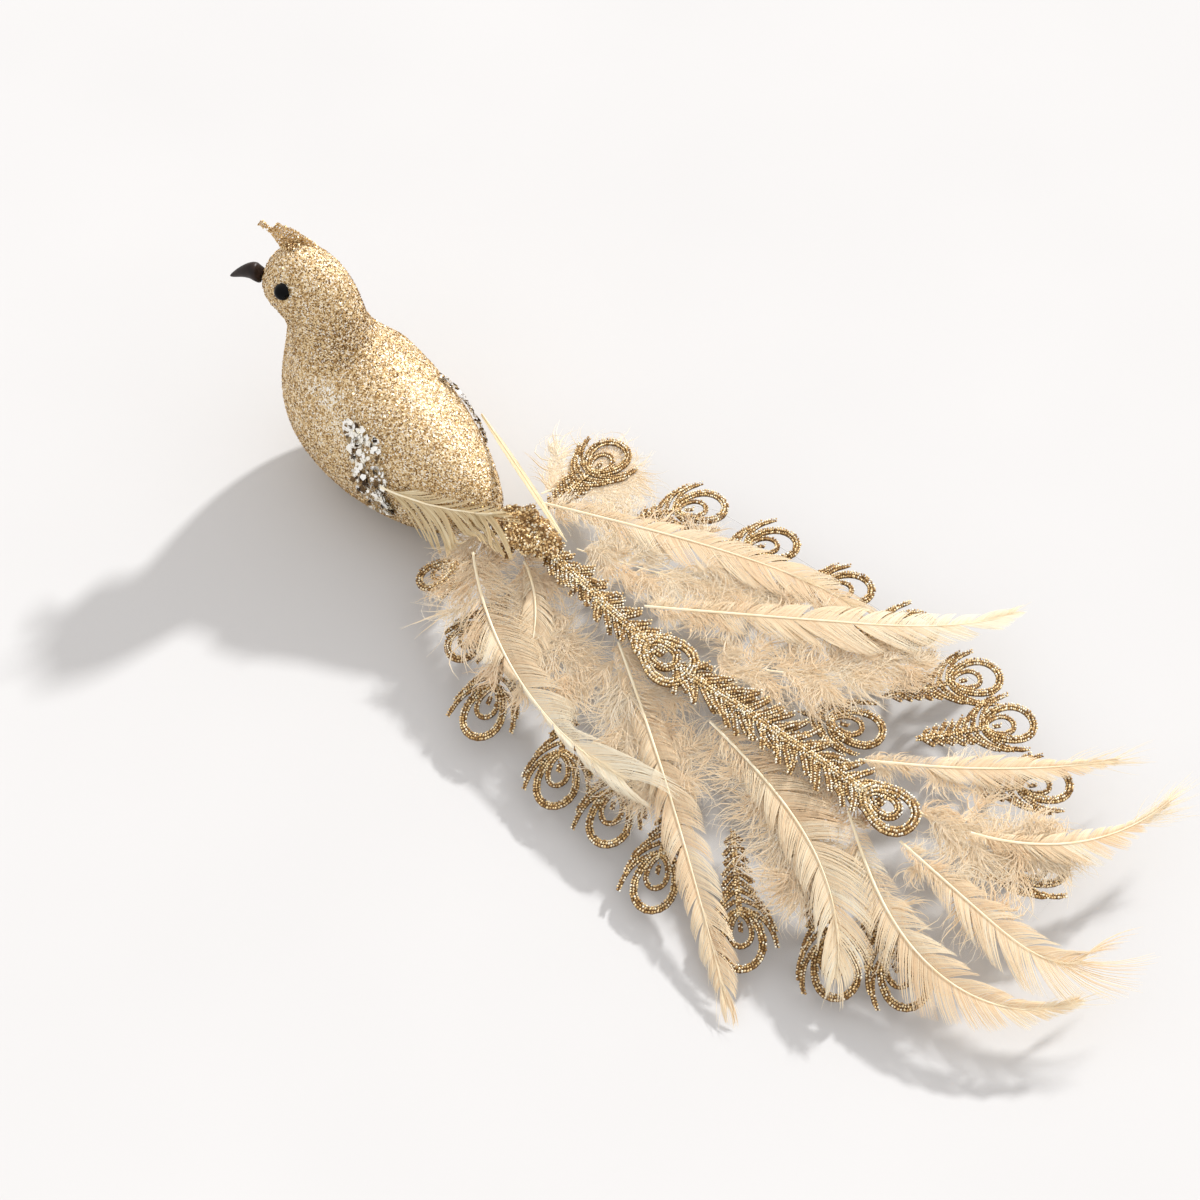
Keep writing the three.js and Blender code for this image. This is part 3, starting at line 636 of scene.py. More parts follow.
# %% Spine sprays
SPINE = {
    "spine_spray_root": dict(x=80, y=-5, aim=-6, stalk=24, barbs=7, eye=0, wide=0, early=-3.5),
    "spine_spray_front": dict(x=107, y=-8.5, aim=-5, stalk=18, barbs=7.5, eye=17, wide=13, early=-3.5),
    "spine_spray_back": dict(x=147, y=-10.5, aim=3, stalk=58, barbs=9.5, eye=16, wide=12, early=-11),
}
for name, s in SPINE.items():
    stalk, eye_length, wide = s["stalk"], s["eye"], s["wide"]
    paths = [(straight(-3.0, stalk + 1.0), 3.0, 0.0)]
    if eye_length:
        paths.append((drop(eye_length, wide, stalk), 3.5, 0.4))
        paths.append((drop(eye_length * 0.6, wide * 0.5, stalk + 1.2), 3.0, 0.6))
        paths.append((straight(stalk + eye_length * 0.2, stalk + eye_length * 0.4), 3.6, 0.8))
        for side in (-1, 1):
            for back, share in ((-0.6, 0.82), (1.6, 0.779), (4.0, 0.656)):
                paths.append((side_cord(stalk - back, 56, eye_length * share, 66, side), 2.2, 0.2))
    start = s["early"]
    while start < stalk - 1.0:
        for side in (-1, 1):
            slant, curl = chance.uniform(38, 58), chance.uniform(-25, 40)
            barb = side_cord(start, slant, s["barbs"] * chance.uniform(0.7, 1.15), curl, side)
            paths.append((barb, 2.2, chance.uniform(-0.6, 1.6)))
        start += chance.uniform(1.7, 2.3)
    cord_piece(name, paths, (s["aim"], s["x"], s["y"]), LAYER_SPINE, 0.14)

# %% [markdown]
# ## Feathers
# A feather is a pale quill with a row of barbs down each side. Barbs leave the quill at a
# slant and curve towards the tip. Neighbours cling together in locks, so between locks the
# vane splits, and near the quill's root the barbs are loose and wavy.

# %% Feather materials
SEE_THROUGH = 0.28


def thin(tree, shader, tint, share):
    """Barbs are thin enough for some of the light to come through them."""
    glow = node(tree, "ShaderNodeBsdfTranslucent", {"Color": tint})
    both = node(tree, "ShaderNodeMixShader", {0: share, 1: shader.outputs["BSDF"], 2: glow.outputs["BSDF"]})
    tree.links.new(both.outputs["Shader"], tree.nodes["Material Output"].inputs["Surface"])


feather_look, tree, shader = new_material("feather_barbs")
CREAM = [(0.0, (0.6, 0.41, 0.23)), (0.4, (0.92, 0.72, 0.47)), (0.75, (1.0, 0.87, 0.64)), (1.0, (1.0, 0.95, 0.8))]
tint = paint(tree, shader, tone_of(tree), CREAM)
relief(tree, shader, noise(tree, 1800.0), 0.2, 0.0001)
shader.inputs["Roughness"].default_value = 0.55
shader.inputs["Sheen Weight"].default_value = 0.25
thin(tree, shader, tint, SEE_THROUGH)

# the two wing feathers are the same, only more golden
hackle_look = feather_look.copy()
hackle_look.name = "hackle_barbs"
golden = next(n for n in hackle_look.node_tree.nodes if n.type == "VALTORGB").color_ramp
GOLDEN_CREAM = ((0.5, 0.35, 0.15), (0.8, 0.64, 0.36), (0.95, 0.84, 0.58), (1.0, 0.95, 0.76))
for stop, color in zip(golden.elements, GOLDEN_CREAM):
    stop.color = (*color, 1.0)

quill_look, tree, shader = new_material("feather_quill")
paint(tree, shader, noise(tree, 300.0, 3.0), [(0.3, (1.0, 0.84, 0.55)), (0.7, (1.0, 0.93, 0.73))])
shader.inputs["Roughness"].default_value = 0.35
print("feather materials:", feather_look.name, hackle_look.name, quill_look.name)


# %% The quill's line and the vanes on it
def quill_line(f, steps=80):
    """The quill from root to tip: share of its length, place and heading at each step."""
    t = np.linspace(0, 1, steps + 1)
    heading = np.radians(f["aim"] + f["bend"] * t ** f.get("late", 1.0))
    along, aside = walk(heading, f["length"] / steps)
    return t, f["x"] + along, f["y"] + aside, heading


def tip_lift(f, t):
    """Some feathers rise off the tail towards their tips."""
    return f.get("lift", 0.0) * t ** 3


BARB_SPACING_ON_QUILL = 0.3
FLUFFY_SHARE = 0.3


def vane(f, layer, side, widths, locks=15, cling=0.42, steps=5):
    """Barbs down one side of a quill. side is 1 for the left vane and -1 for the right."""
    t, x, y, heading = quill_line(f)
    count = int(f["length"] / BARB_SPACING_ON_QUILL)
    root = np.linspace(0.015, 0.985, count)
    stations = np.linspace(0, 1, len(widths)) if len(widths) > 4 else [0, 0.45, 0.8, 1]
    reach = np.interp(root, stations, widths)
    angle = np.radians(np.interp(root, [0, 0.3, 0.85, 1], [62, 52, 40, 18]))
    # the lock that each barb clings to, and the middle of that lock
    cuts = np.linspace(0, 1, locks + 1)[1:-1] + chance.uniform(-0.4, 0.4, locks - 1) / locks
    edges = np.sort(np.concatenate([[0, 1], cuts]))
    lock = np.clip(np.searchsorted(edges, root) - 1, 0, locks - 1)
    middle = (edges[lock] + edges[lock + 1]) / 2
    pull = cling * chance.uniform(0.5, 1.0, locks)[lock] * (middle - root) * f["length"]
    turn = chance.normal(0, 0.07, locks)[lock] + chance.normal(0, 0.02, count)
    loose = np.clip((FLUFFY_SHARE - root) / FLUFFY_SHARE, 0, 1)[:, None]
    uneven = 1 + chance.normal(0, 0.09, count)
    length = (reach / np.sin(angle) * uneven)[:, None] * (1 + 0.25 * loose * chance.random((count, 1)))
    s = np.linspace(0, 1, steps)[None]
    bend = np.radians(16 + 14 * root)[:, None]
    wave = loose * 0.5 * np.sin(s * 5 + chance.uniform(0, 6, (count, 1)))
    along, aside = walk((angle + turn)[:, None] - bend * s + wave, length / (steps - 1))
    grow = np.clip(reach[:, None] / (np.abs(aside[:, -1:]) + 1e-6), 0.8, 1.7)
    along, aside = (along + pull[:, None] * s ** 1.6) * grow, aside * side * grow
    h = np.interp(root, t, heading)[:, None]
    px = np.interp(root, t, x)[:, None] + along * np.cos(h) - aside * np.sin(h)
    py = np.interp(root, t, y)[:, None] + along * np.sin(h) + aside * np.cos(h)
    root = root[:, None]
    arch = np.sin(s * math.pi) * 0.5 + chance.normal(0, 0.35, locks)[lock][:, None] * s ** 2
    arch = arch + loose * chance.normal(0.4, 0.7, (count, 1)) * s
    pz = tail_height(px, py) + layer + 0.25 + arch + tip_lift(f, root)
    thick = np.interp(s, [0, 0.3, 0.8, 1], [0.2, 0.24, 0.15, 0.04]) * np.where(loose > 0.05, 0.7, 1.0)
    shine = f.get("shine", 0.0) * np.clip(root * 3 - 1.2, 0, 1)
    tones = 0.6 + shine + 0.4 * (chance.random((count, 1)) - 0.5) + 0.12 * s
    tones = tones + chance.normal(0, 0.07, locks)[lock][:, None]
    return strands(np.stack([px, py, pz], axis=-1), thick, thick * 0.35, tones)


def quill(f, layer, thick=0.85):
    t, x, y, _ = quill_line(f, 40)
    z = tail_height(x, y) + layer + 0.6 + tip_lift(f, t)
    width = np.interp(t, [0, 0.1, 0.7, 1], [thick, thick, thick * 0.42, 0.1])
    return strands(np.stack([x, y, z], axis=-1)[None], width, width * 0.3, 1.0)


def wisps(f, layer, count=34, length=11.0):
    """Loose long hairs that carry the tip of a feather on."""
    t, x, y, heading = quill_line(f)
    root = chance.uniform(0.74, 0.99, (count, 1))
    s = np.linspace(0, 1, 6)[None]
    way = np.interp(root, t, heading) + chance.normal(0, 0.3, (count, 1)) * (1 - 0.7 * s)
    along, aside = walk(way, chance.uniform(0.6, 1.15, (count, 1)) * length / 5)
    px, py = np.interp(root, t, x) + along, np.interp(root, t, y) + aside
    pz = tail_height(px, py) + layer + 0.4 + tip_lift(f, root) + chance.uniform(0, 1.5, (count, 1)) * s
    thick = np.interp(s, [0, 0.6, 1], [0.16, 0.12, 0.03])
    return strands(np.stack([px, py, pz], axis=-1), thick, thick * 0.5, 0.85)


def feather_piece(name, f, layer):
    """Two vanes, soft barbs under the root half, wisps at the tip and the quill on top."""
    left = vane(f, layer, 1, f["left"], **f.get("left_way", {}))
    right = vane(f, layer, -1, f["right"])
    soft = marabou(f, layer - 1.6, f.get("clumps", 8), 44, high=1.5, spread=1.1, upto=0.5, reach=0.75)
    tip = wisps(f, layer, **f.get("tip", {}))
    parts = [(0, left), (0, right), (0, tip), (1, quill(f, layer)), (2, soft)]
    piece("plume_" + name, parts, [feather_look, quill_look, down_look], [name])


# %% [markdown]
# ## Marabou fluff
# Marabou barbs are long, soft and wavy, and fall over each other in swirls. Each tuft is
# a hidden quill with side stems, and the hairs of one stem curl the same way, like a lock.

# %% Fluff
down_look, tree, shader = new_material("marabou_down")
PEACH = [(0.0, (0.82, 0.61, 0.38)), (0.45, (1.0, 0.86, 0.64)), (1.0, (1.0, 0.97, 0.88))]
tint = paint(tree, shader, tone_of(tree), PEACH)
dull(tree, shader, noise(tree, 2600.0), 0.6, 0.9)
shader.inputs["Sheen Weight"].default_value = 0.35
thin(tree, shader, tint, SEE_THROUGH)


def evenly(values, at):
    return np.interp(at, np.linspace(0, 1, len(values)), values)


DEEP_SHARE = 0.3


def marabou(f, layer, clumps, hairs, high, spread, upto=1.0, reach=1.0, steps=6):
    """Clumps of hairs on short side stems; the hairs of a clump curl the same way.

    About a third of the hairs lie deep and are broad, so that the tuft isn't seen through.
    """
    t, x, y, heading = quill_line(f)
    root = (np.arange(clumps) + chance.random(clumps)) / clumps * upto
    width = (evenly(f["left"], root) + evenly(f["right"], root)) / 2
    side = np.where(np.arange(clumps) % 2 == 0, 1.0, -1.0)
    aim = np.interp(root, t, heading) + side * np.radians(chance.uniform(5, 70, clumps))
    stem = width * spread * chance.uniform(0.7, 1.15, clumps)
    stem_bend, swirl = chance.uniform(-0.9, 0.7, clumps) * side, chance.normal(0, 0.9, clumps)
    lift, shade = chance.uniform(0.1, 1.0, clumps) * high, chance.normal(0, 0.09, clumps)
    which = np.repeat(np.arange(clumps), hairs)
    count = len(which)
    along = chance.random(count) ** 0.85
    bent = aim[which] + 0.5 * stem_bend[which] * along
    from_x = np.interp(root, t, x)[which] + stem[which] * along * np.cos(bent)
    from_y = np.interp(root, t, y)[which] + stem[which] * along * np.sin(bent)
    s = np.linspace(0, 1, steps)[None]
    hair_side = np.where(chance.random(count) < 0.5, 1.0, -1.0)
    start = bent + 0.5 * stem_bend[which] * along + hair_side * np.radians(chance.uniform(5, 80, count))
    curl = 1.5 * swirl[which] - 1.2 * hair_side + chance.normal(0, 0.6, count)
    wave = 0.7 * s * np.sin(s * 4.6 + chance.uniform(0, 6.28, clumps)[which][:, None])
    length = reach * (5.5 + width[which]) * chance.uniform(0.5, 1.35, count)
    ahead, aside = walk(start[:, None] + curl[:, None] * s + wave, (length / (steps - 1))[:, None])
    px, py = from_x[:, None] + ahead, from_y[:, None] + aside
    deep = chance.random((count, 1)) < DEEP_SHARE
    rise = (lift[which] * along ** 0.6)[:, None] * (1 - 0.5 * s)
    rise = rise + chance.random((count, 1)) * 0.42 * high * np.sin(s * 2.6)
    pz = tail_height(px, py) + layer + 0.25 + rise * np.where(deep, 0.25, 1.0)
    thick = np.interp(s, [0, 0.6, 1], [0.17, 0.14, 0.04]) * np.where(deep, 4.4 - 3.0 * s, 1.0)
    # the deep hairs are painted a little darker: painted shade under the hairs above them
    tones = 0.52 + shade[which][:, None] + 0.34 * (chance.random((count, 1)) - 0.5) + 0.2 * s - 0.08 * deep
    return strands(np.stack([px, py, pz], axis=-1), thick, np.minimum(thick * 0.6, 0.25), tones)


# %% The ten feathers of the tail
# Each feather's root and length are in mm; aim is its heading at the root and bend how far
# it turns by the tip, in degrees. left and right are the widths of its vanes from root to tip.
LOW = {
    "feather_left_2": dict(x=76, y=-11, aim=-26, bend=-44, length=36, left=[1, 6, 5, 1], right=[1, 6, 5, 1]),
    "feather_left_3": dict(x=117, y=-14, aim=-31, bend=-4, length=114, left=[3, 7, 6, 1], right=[3, 6, 4, 1]),
    "feather_left_5": dict(x=204, y=-14, aim=-34, bend=100, late=1.8, length=94,
                           left=[3, 8, 2.2, 0.5], right=[3, 11, 3.4, 0.6]),
    "feather_right_1": dict(x=64, y=9, aim=26, bend=-26, late=3, length=106,
                            left=[3, 6, 6, 1.5], right=[4, 12, 8, 2], clumps=14),
    "feather_right_3": dict(x=196, y=1, aim=36, bend=20, length=78,
                            left=[2, 5, 1.8, 0.5], right=[2, 7, 3, 0.5], tip=dict(count=60, length=14)),
}
HIGH = {
    "feather_left_1": dict(x=62, y=-19, aim=-40, bend=46, length=92, shine=0.4, clumps=12,
                           left=[5, 11, 12, 11, 7, 9, 7, 3, 7, 8, 4], right=[5, 9, 9, 7, 3, 1, 1, 2, 3, 4, 3],
                           left_way=dict(locks=6, cling=0.15)),
    "feather_left_4": dict(x=156, y=-18, aim=-8, bend=-52, late=2, length=86,
                           left=[6, 12, 8, 1], right=[5, 8, 6, 1], shine=0.15, clumps=12),
    "feather_left_6": dict(x=221, y=-12, aim=-3, bend=74, late=6, length=62, left=[2, 7, 6, 4], right=[2, 9, 9, 5]),
    "feather_right_2": dict(x=115, y=0, aim=37, bend=36, late=4, length=116, shine=0.3, clumps=14,
                            left=[3, 7, 4, 1], right=[4, 12, 5, 1], tip=dict(length=6)),
    "feather_right_4": dict(x=234, y=4, aim=26, bend=56, length=62, lift=5,
                            left=[2, 4, 1.2, 0.4], right=[3, 8, 1.8, 0.4], tip=dict(count=80, length=15)),
}
for name, f in LOW.items():
    feather_piece(name, f, LAYER_LOW)
for name, f in HIGH.items():
    feather_piece(name, f, LAYER_HIGH)

# %% The tufts of fluff
DOWN = {
    "down_left_1": dict(x=86, y=-16, aim=-30, bend=0, length=34, left=[3, 7, 7, 3], right=[3, 7, 7, 3]),
    "down_left_2": dict(x=122, y=-20, aim=-28, bend=0, length=42, left=[3, 9, 8, 3], right=[3, 8, 8, 3]),
    "down_left_3": dict(x=172, y=-15, aim=-24, bend=-10, length=44, left=[3, 9, 9, 4], right=[3, 10, 9, 4]),
    "down_right_1": dict(x=60, y=14, aim=72, bend=-12, length=26, left=[3, 8, 7, 3], right=[2, 6, 6, 2]),
    "down_right_2": dict(x=84, y=4, aim=22, bend=4, length=66, left=[2, 6, 6, 2], right=[2, 6, 7, 2]),
    "down_right_3": dict(x=156, y=8, aim=32, bend=24, length=46, left=[3, 8, 7, 2], right=[3, 9, 7, 2]),
    "down_right_4": dict(x=218, y=0, aim=20, bend=10, length=38, left=[3, 8, 8, 3], right=[3, 8, 7, 3]),
}
# Three tufts begin this far behind their quills, in mm, under the feathers there.
REACH_BACK = {"down_right_3": 17, "down_left_1": 15, "down_left_2": 8}
# soft barbs beside the tail's root, under the left wing feather
BESIDE_ROOT = dict(x=58.5, y=-5, aim=-86, bend=20, length=22, left=[5, 6, 6, 4], right=[5, 6, 6, 4])
for name, f in DOWN.items():
    # the tuft at the right of the root lies low and wide, under its spray
    layer, high, spread = (-0.1, 0.5, 2.4) if name == "down_right_1" else (LAYER_DOWN - 0.4, 2.8, 1.7)
    back, way = REACH_BACK.get(name, 0), math.radians(f["aim"])
    longer = dict(f, x=f["x"] - back * math.cos(way), y=f["y"] - back * math.sin(way), length=f["length"] + back)
    hairs = marabou(longer, layer, int(8 + longer["length"] / 3.8), 71, high, spread)
    parts = [(0, hairs), (1, quill(f, layer, 0.6))]
    if name == "down_left_1":
        parts.append((0, marabou(BESIDE_ROOT, layer - 1.0, 8, 60, high=2.0, spread=1.4)))
    piece("fluff_" + name, parts, [down_look, quill_look], [name])

# %% [markdown]
# ## Wings
# Each wing is a patch of mirror flakes glued to the flank and one small hackle feather. The
# flank is round there, so a place on it is given by its station along the body, its angle
# down from the back and its height off the skin.


# %% Places on the flank
# At each station along the body, the middle of its round section and its radius
STATION = np.array([-7.5, 1, 11, 22, 33, 43, 51, 56.5])
MIDDLE_Y = np.array([0, -0.5, -1.4, -2.4, -3.1, -3.6, -4.1, -4.5])
MIDDLE_Z = np.array([28.6, 25.6, 24.6, 24.2, 24.2, 24.4, 24.6, 24.8])
RADIUS = np.array([24.4, 25, 24.6, 22.6, 18.9, 14.4, 9.6, 5.5])


def flank(x, degrees, gap):
    turn = np.radians(degrees)
    reach = np.interp(x, STATION, RADIUS) + gap
    y = np.interp(x, STATION, MIDDLE_Y) - reach * np.sin(turn)
    z = np.interp(x, STATION, MIDDLE_Z) + reach * np.cos(turn)
    return np.stack([x + 0 * y, y, z], axis=-1)


print("the back at station 11 is at", flank(11.0, 0.0, 0.0).round(1))

# %% Mirror flakes
MIRROR = [(0.0, (0.03, 0.018, 0.01)), (0.2, (0.2, 0.12, 0.05)), (0.38, (0.6, 0.5, 0.3)),
          (0.55, (0.95, 0.92, 0.82)), (1.0, (1.0, 1.0, 0.98))]
flake_look = grain_material("mirror_flakes", MIRROR, 0.22, 0.75)
CORNERS = 5


def flakes(points, normals, size, tones, tilt):
    """Thin crooked plates with a shallow ridge, glued down at odd angles."""
    count = len(points)
    away, u, v = crooked(normals, tilt)
    turn = np.linspace(0, 2 * math.pi, CORNERS + 1)[:-1, None]
    far = chance.uniform(0.55, 1.15, (count, CORNERS)) * size[:, None]
    rim = points[:, None] + far[..., None] * (np.cos(turn) * u[:, None] + np.sin(turn) * v[:, None])
    ridge = away * size[:, None] * 0.12
    verts = np.concatenate([rim, (points + ridge)[:, None], (points - ridge)[:, None]], axis=1)
    base = np.arange(count)[:, None] * (CORNERS + 2)
    edges = [(k, (k + 1) % CORNERS) for k in range(CORNERS)]
    tris = [base + np.array([k, n, CORNERS]) for k, n in edges]
    tris += [base + np.array([n, k, CORNERS + 1]) for k, n in edges]
    return verts.reshape(-1, 3), NO_QUADS, np.concatenate(tris), np.repeat(tones, CORNERS + 2)


def flake_patch(rows, count, biggest, dark_share):
    """Flakes over a patch, given as rows of a station and its two angles down the flank."""
    stations, starts, ends = np.array(rows, float).T
    x = chance.uniform(stations[0] - 1, stations[-1] + 1, count)
    start, end = np.interp(x, stations, starts), np.interp(x, stations, ends)
    degrees = start + (end - start) * chance.uniform(-0.08, 1.08, count)
    points = flank(x, degrees, chance.uniform(0.4, 1.5, count))
    away = unit(points - flank(x, degrees, 0.0))
    # past 70 degrees down the flank more flakes are dark: painted shade where the flank turns under
    dark = chance.random(count) < dark_share + 0.25 * (np.abs(degrees) > 70)
    tone = np.where(dark, chance.uniform(0, 0.3, count), chance.uniform(0.5, 1.0, count))
    return flakes(points, away, chance.uniform(0.45, biggest, count), tone, 0.32)


# %% Flakes of both wings
LEFT_FLAKES = [[9.5, 41, 45], [13, 39, 53], [16.5, 39, 66], [20, 41, 84], [23.5, 46, 94], [27, 62, 98], [30, 88, 98]]
RIGHT_FLAKES = [[16, -46, -54], [20, -50, -66], [25, -55, -76], [30, -64, -86], [34, -74, -90]]
for side, rows, how in (("left", LEFT_FLAKES, (330, 1.5, 0.25)), ("right", RIGHT_FLAKES, (170, 1.0, 0.45))):
    patch = flake_patch(rows, *how)
    piece("flakes_" + side, [(0, patch)], [flake_look], ["wing_flakes_" + side])

# %% [markdown]
# The left hackle lies along the flank: its upper barbs are short and neat, the lower ones
# are long, split into locks and hang free. The right one stands on edge.

# %% Left wing feather
HACKLE_ROOT, HACKLE_TIP = 27.5, 61.0
# At each station: the angles of the upper edge, the quill and the lower edge, how far the
# feather stands off the skin, and how far its lower barbs swing out
WING_ROWS = np.array([[29, 62, 68, 76, 1.0, 0], [36, 54, 66, 96, 1.2, 1], [43, 48, 63, 112, 1.6, 3],
                      [50, 38, 56, 118, 2.4, 6.5], [56, 20, 44, 104, 4.0, 9], [62, 8, 26, 62, 5.4, 4]], float)


def wing_row(x):
    return [np.interp(x, WING_ROWS[:, 0], WING_ROWS[:, k]) for k in range(1, 6)]


def wing_barbs(count, upper, locks, steps=8):
    """Barbs from the quill to the upper or the lower edge, gathered in locks."""
    root = np.linspace(HACKLE_ROOT, HACKLE_TIP, count)
    near_lock = np.linspace(0, 1, count) * locks + chance.normal(0, 0.05, count)
    lock = np.clip(near_lock.astype(int), 0, locks - 1)
    slip = chance.normal(0, 2.6, locks)[lock]
    hold = chance.uniform(0.1, 0.75, locks)[lock]
    s = np.linspace(0, 1, steps)[None]
    middle = HACKLE_ROOT + (lock + 0.5) / locks * (HACKLE_TIP - HACKLE_ROOT)
    swept, gathered = (10.5 if upper else 16.0) + slip, hold * (middle - root) * 0.6
    x = root[:, None] + swept[:, None] * s ** 0.85 + gathered[:, None] * s ** 1.5
    high, mid, low, gap, swing = wing_row(np.minimum(x, 62.0))
    mid0 = wing_row(root)[1][:, None]
    edge = high if upper else low
    degrees = mid0 + (edge - mid0) * s ** 1.2 * (0.9 if upper else 0.82)
    off = gap + 0.75 + (0 if upper else 1) * swing * s ** 1.5
    off = off + chance.normal(0, 0.25, locks)[lock][:, None] * s
    thick = np.interp(s, [0, 0.4, 1], [0.27, 0.24, 0.05])
    tones = 0.4 + 0.5 * (chance.random((count, 1)) - 0.5) + chance.normal(0, 0.1, locks)[lock][:, None] + 0.15 * s
    return strands(flank(x, degrees, off), thick, thick * 0.6, tones)


x = np.linspace(HACKLE_ROOT, HACKLE_TIP + 1.0, 26)
_, mid, _, gap, _ = wing_row(x)
taper = np.linspace(0.75, 0.4, len(x))
stem = strands(flank(x, mid, gap + 0.95)[None], taper, taper * 0.8, 1.0)
parts = [(0, wing_barbs(150, True, 20)), (0, wing_barbs(230, False, 27)), (1, stem)]
piece("hackle_left", parts, [hackle_look, quill_look], ["wing_feather_left"])

# %% Right wing feather
BLADE_BARBS = 150
# places along the quill, each with half the blade's height there
BLADE = np.array([[31, 17.4, 32.6, 0.8], [33, 16.6, 33, 1.2], [46.5, 11, 35.5, 2.6], [58.2, 6.4, 36.8, 3.0],
                  [70, 1.8, 37.6, 2.8], [80.4, -2.4, 38.3, 1.8], [87.4, -4.8, 38.4, 0.2]])


def blade_point(t):
    at = t * (len(BLADE) - 1)
    return np.stack([np.interp(at, np.arange(len(BLADE)), BLADE[:, k]) for k in range(4)], axis=-1)


parts = []
for way in (-1, 1):
    root = np.linspace(0.0, 0.9, BLADE_BARBS)[:, None]
    s = np.linspace(0, 1, 6)[None]
    x, y, z, high = np.moveaxis(blade_point(np.clip(root + 0.09 * s, 0, 1)), -1, 0)
    rise = way * 0.72 * high * s ** 0.8 * (1 + chance.normal(0, 0.06, (BLADE_BARBS, 1)))
    lean = chance.normal(0.35, 0.12, (BLADE_BARBS, 1)) * s * way
    path = np.stack([x + 0.3 + lean * 0.6, y + 0.5 - 0.8 * rise, z + 0.6 * rise], axis=-1)
    thick = np.interp(s, [0, 0.5, 1], [0.3, 0.32, 0.08])
    parts.append((0, strands(path, thick, thick * 0.5, 0.7 + 0.3 * (chance.random((BLADE_BARBS, 1)) - 0.5))))
stem = blade_point(np.linspace(0, 1, 24))[:, :3] + [0.3, 0.6, 0]
taper = np.linspace(0.8, 0.25, len(stem))
parts.append((1, strands(stem[None], taper, taper, 1.0)))
piece("hackle_right", parts, [hackle_look, quill_look], ["wing_feather_right"])

# %% [markdown]
# ## Crest
# The crest is a torn scrap of gold net standing on the crown: crossing threads with glitter
# stuck on them, ragged at the rim, glued down in a dark spot.

# %% Crest
# The scrap is drawn flat, ahead and up from its foot on the crown.
HEAD, HEAD_RADIUS = np.array([-25.2, 0, 67.2]), 12.6
CREST_WAY = unit(np.array([-0.45, 0.13, 0.885]))
CREST_FOOT = HEAD + CREST_WAY * (HEAD_RADIUS - 0.2)
CREST_AHEAD = np.array([-0.747, -0.665, 0])
CREST_UP = unit(np.array([-0.3, 0.2, 0.93]))
CREST_ACROSS = np.cross(CREST_AHEAD, CREST_UP)
CREST_RIM = np.array([[2.5, -1.5], [4.6, 2.2], [6.9, 6], [9.2, 7.2], [7.6, 9], [4.8, 6.2], [3.2, 8],
                      [0.2, 6.6], [-3.6, 4.4], [-5.4, 3], [-8.4, 0.2], [-5, 0.8], [-3, -1.5]])


def inside(points, rim):
    x, y = points.T
    hit = np.zeros(len(points), bool)
    for (x0, y0), (x1, y1) in zip(rim, np.roll(rim, -1, axis=0)):
        crosses = ((y0 > y) != (y1 > y)) & (x < (x1 - x0) * (y - y0) / (y1 - y0 + 1e-12) + x0)
        hit ^= crosses
    return hit


def on_crest(flat, off):
    ripple = 0.5 * np.sin(flat[:, 0] * 0.9) * np.cos(flat[:, 1] * 0.7)
    return CREST_FOOT + flat[:, :1] * CREST_AHEAD + flat[:, 1:] * CREST_UP + (off + ripple)[:, None] * CREST_ACROSS


# crossing threads, each cut off where it leaves the scrap's outline
parts = []
for degrees in (24, 128):
    way = np.array([math.cos(math.radians(degrees)), math.sin(math.radians(degrees))])
    aside = np.array([-way[1], way[0]])
    for row in np.arange(-12, 12, 0.95):
        run = np.linspace(-14, 14, 180)
        flat = row * aside + run[:, None] * way + 0.12 * np.sin(run * 2.0)[:, None] * aside
        kept = inside(flat, CREST_RIM).astype(int)
        starts = np.flatnonzero(np.diff(kept) == 1) + 1
        ends = np.flatnonzero(np.diff(kept) == -1)
        for start, end in zip(starts, ends):
            if end - start >= 6:
                thread, _ = resample(flat[start:end + 1], 6)
                parts.append((1, strands(on_crest(thread, np.zeros(6))[None], 0.34, 0.3, 0.34)))

# %% The crest's torn rays, glue and glitter
# Short threads lie on the crown all round the foot, under a spot of dark glue.
for turn in np.linspace(0, 2 * math.pi, 17)[:-1]:
    out = np.linspace(0.3, 1, 5)[:, None] * chance.uniform(2.6, 5.6)
    flat_way = math.cos(turn) * CREST_AHEAD + math.sin(turn) * CREST_ACROSS
    line = HEAD + (HEAD_RADIUS + 0.9) * unit(CREST_WAY + out / HEAD_RADIUS * flat_way) + 0.25 * UP
    parts.append((0, strands(line[None], 0.4, 0.3, 1.0)))
    dots = line[chance.integers(0, 5, 26)] + chance.normal(0, 0.32, (26, 3))
    parts.append((1, beads(dots, chance.uniform(0.2, 0.36, 26), chance.beta(1.3, 1.1, 26))))
glue_way = unit(CREST_WAY + 0.3 * np.array(VIEW_BACK))
glue = HEAD + (HEAD_RADIUS + 0.8) * glue_way + chance.normal(0, 0.45, (40, 3))
parts.append((0, beads(glue, chance.uniform(0.4, 0.7, 40), np.zeros(40))))
cloud = chance.uniform([-9, -2], [10, 10], (2600, 2))
cloud = cloud[inside(cloud, CREST_RIM)]
cloud = on_crest(cloud, chance.normal(0, 0.22, len(cloud)))
sizes, tones = chance.uniform(0.16, 0.34, len(cloud)), 0.76 * chance.beta(1.4, 1.2, len(cloud))
parts.append((1, beads(cloud, sizes, tones)))
piece("crest_net", parts, [cord_look, bead_look], ["crest"])

# %% [markdown]
# ## Tail root and clear film
# The lump where the tail is glued on is packed with coarse gold grains. The film is thin
# clear plastic with faint ripples. It would throw a hard shadow as glass, so for shadow
# rays and for soft light from the room it lets the light through.

# %% Tail root
root_skin = smooth_copy("root_skin", "tail_root", 2, cord_look)
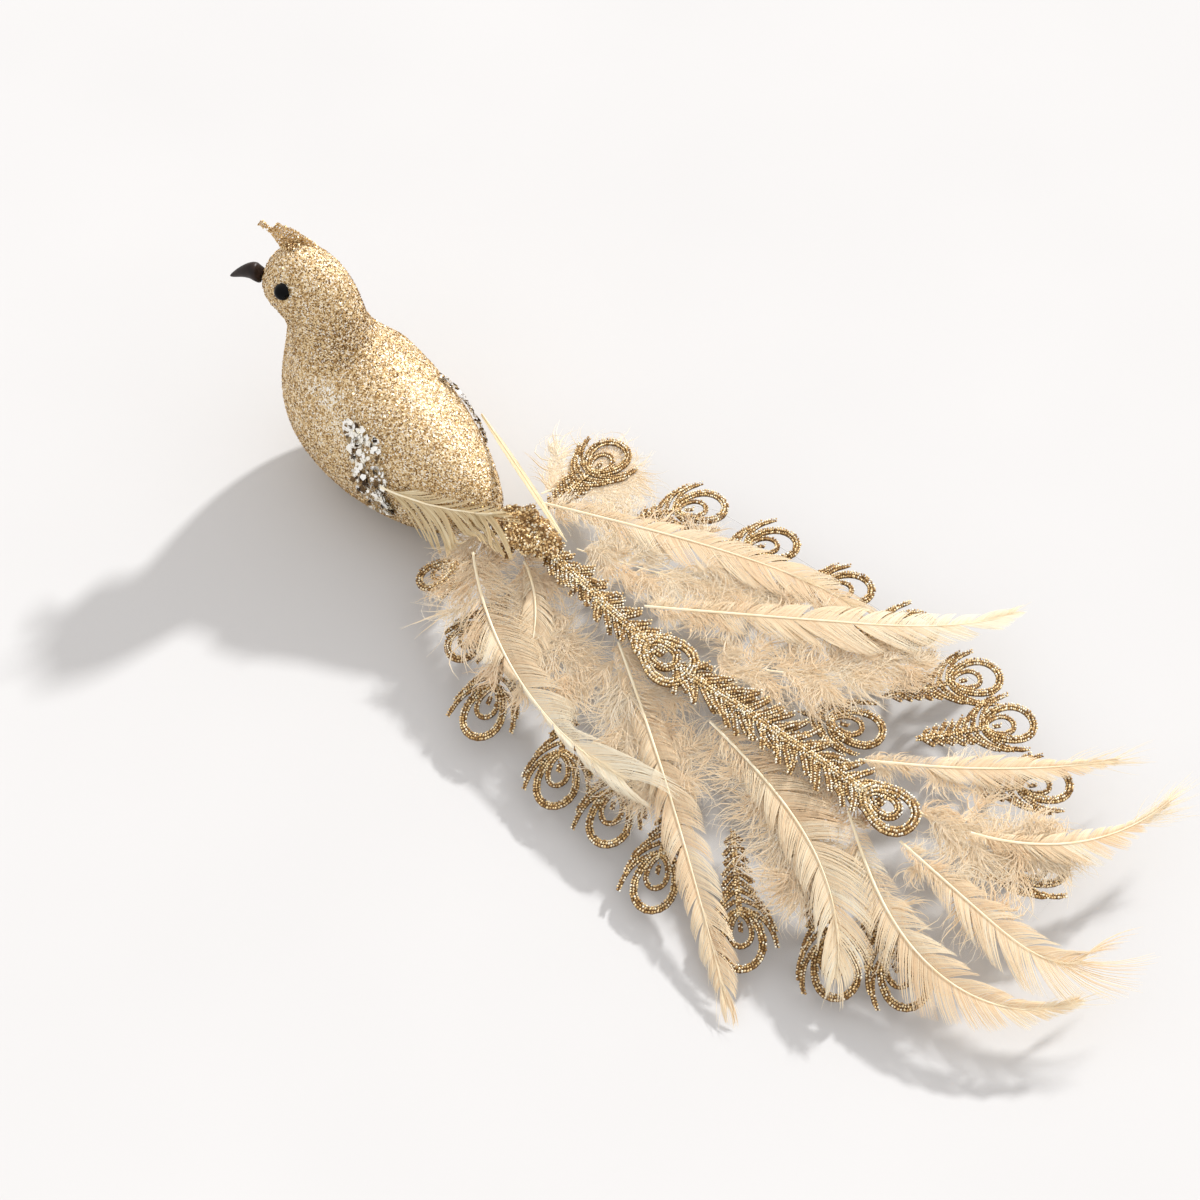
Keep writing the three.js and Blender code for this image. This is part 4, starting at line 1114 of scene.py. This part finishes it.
# a few waves make the smooth lump uneven
for vertex in root_skin.data.vertices:
    a, b, c = (vertex.co / MM) * 0.62
    vertex.co += vertex.normal * MM * 0.7 * (math.sin(a * 1.7 + 2 * math.sin(b)) + math.sin(c * 2.3 + a))
ROOT_BEADS, ROOT_CORDS = 1500, 16
points, normals, _ = scatter(root_skin, ROOT_BEADS)
tones = chance.beta(1.2, 1.1, ROOT_BEADS)
parts = [(1, beads(points + normals * 0.15, chance.uniform(0.3, 0.62, ROOT_BEADS), tones))]
for bit in range(ROOT_CORDS):
    aim, length = chance.uniform(-75, 75), chance.uniform(3.5, 6.5)
    end = side_cord(0, 10, length, chance.uniform(-30, 30), 1)
    path = turned_path(end, aim, chance.uniform(56, 74), chance.uniform(-12, 3))
    core, bead = cord(path, 2.0, LAYER_SPINE + chance.uniform(-2.2, 0.6), 0.05)
    parts += [(0, core), (1, bead)]
piece("root_glitter", parts, [cord_look, bead_look])

# %% Clear film
film_look, tree, shader = new_material("clear_film")
ripple = noise(tree, 60.0)
relief(tree, shader, ripple, 0.35, 0.002)
paint(tree, shader, ripple, [(0.3, (0.97, 0.975, 0.98)), (0.7, (1.0, 1.0, 1.0))])
shader.inputs["Transmission Weight"].default_value = 1.0
shader.inputs["Roughness"].default_value = 0.04
shader.inputs["IOR"].default_value = 1.3
rays = node(tree, "ShaderNodeLightPath")
clear = node(tree, "ShaderNodeBsdfTransparent")
unseen = node(tree, "ShaderNodeMath", {0: rays.outputs["Is Shadow Ray"], 1: rays.outputs["Is Diffuse Ray"]},
              operation="MAXIMUM")
both = node(tree, "ShaderNodeMixShader", {0: unseen.outputs[0], 1: shader.outputs["BSDF"], 2: clear.outputs["BSDF"]})
tree.links.new(both.outputs["Shader"], tree.nodes["Material Output"].inputs["Surface"])
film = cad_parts["tail_film"]
film.data.materials.clear()
film.data.materials.append(film_look)
print("the film wears", film.data.materials[0].name)

# %% [markdown]
# ## Floor finish
# The floor is matt and pale with hardly any pattern, so that the shadows stay clean.

# %% Floor material
floor_look, tree, shader = new_material("pale_floor")
paint(tree, shader, noise(tree, 9.0), [(0.3, (0.652, 0.652, 0.653)), (0.7, (0.667, 0.667, 0.668))])
shader.inputs["Roughness"].default_value = 0.9
shader.inputs["Specular IOR Level"].default_value = 0.1
floor.data.materials.append(floor_look)
print("the floor wears", floor_look.name)
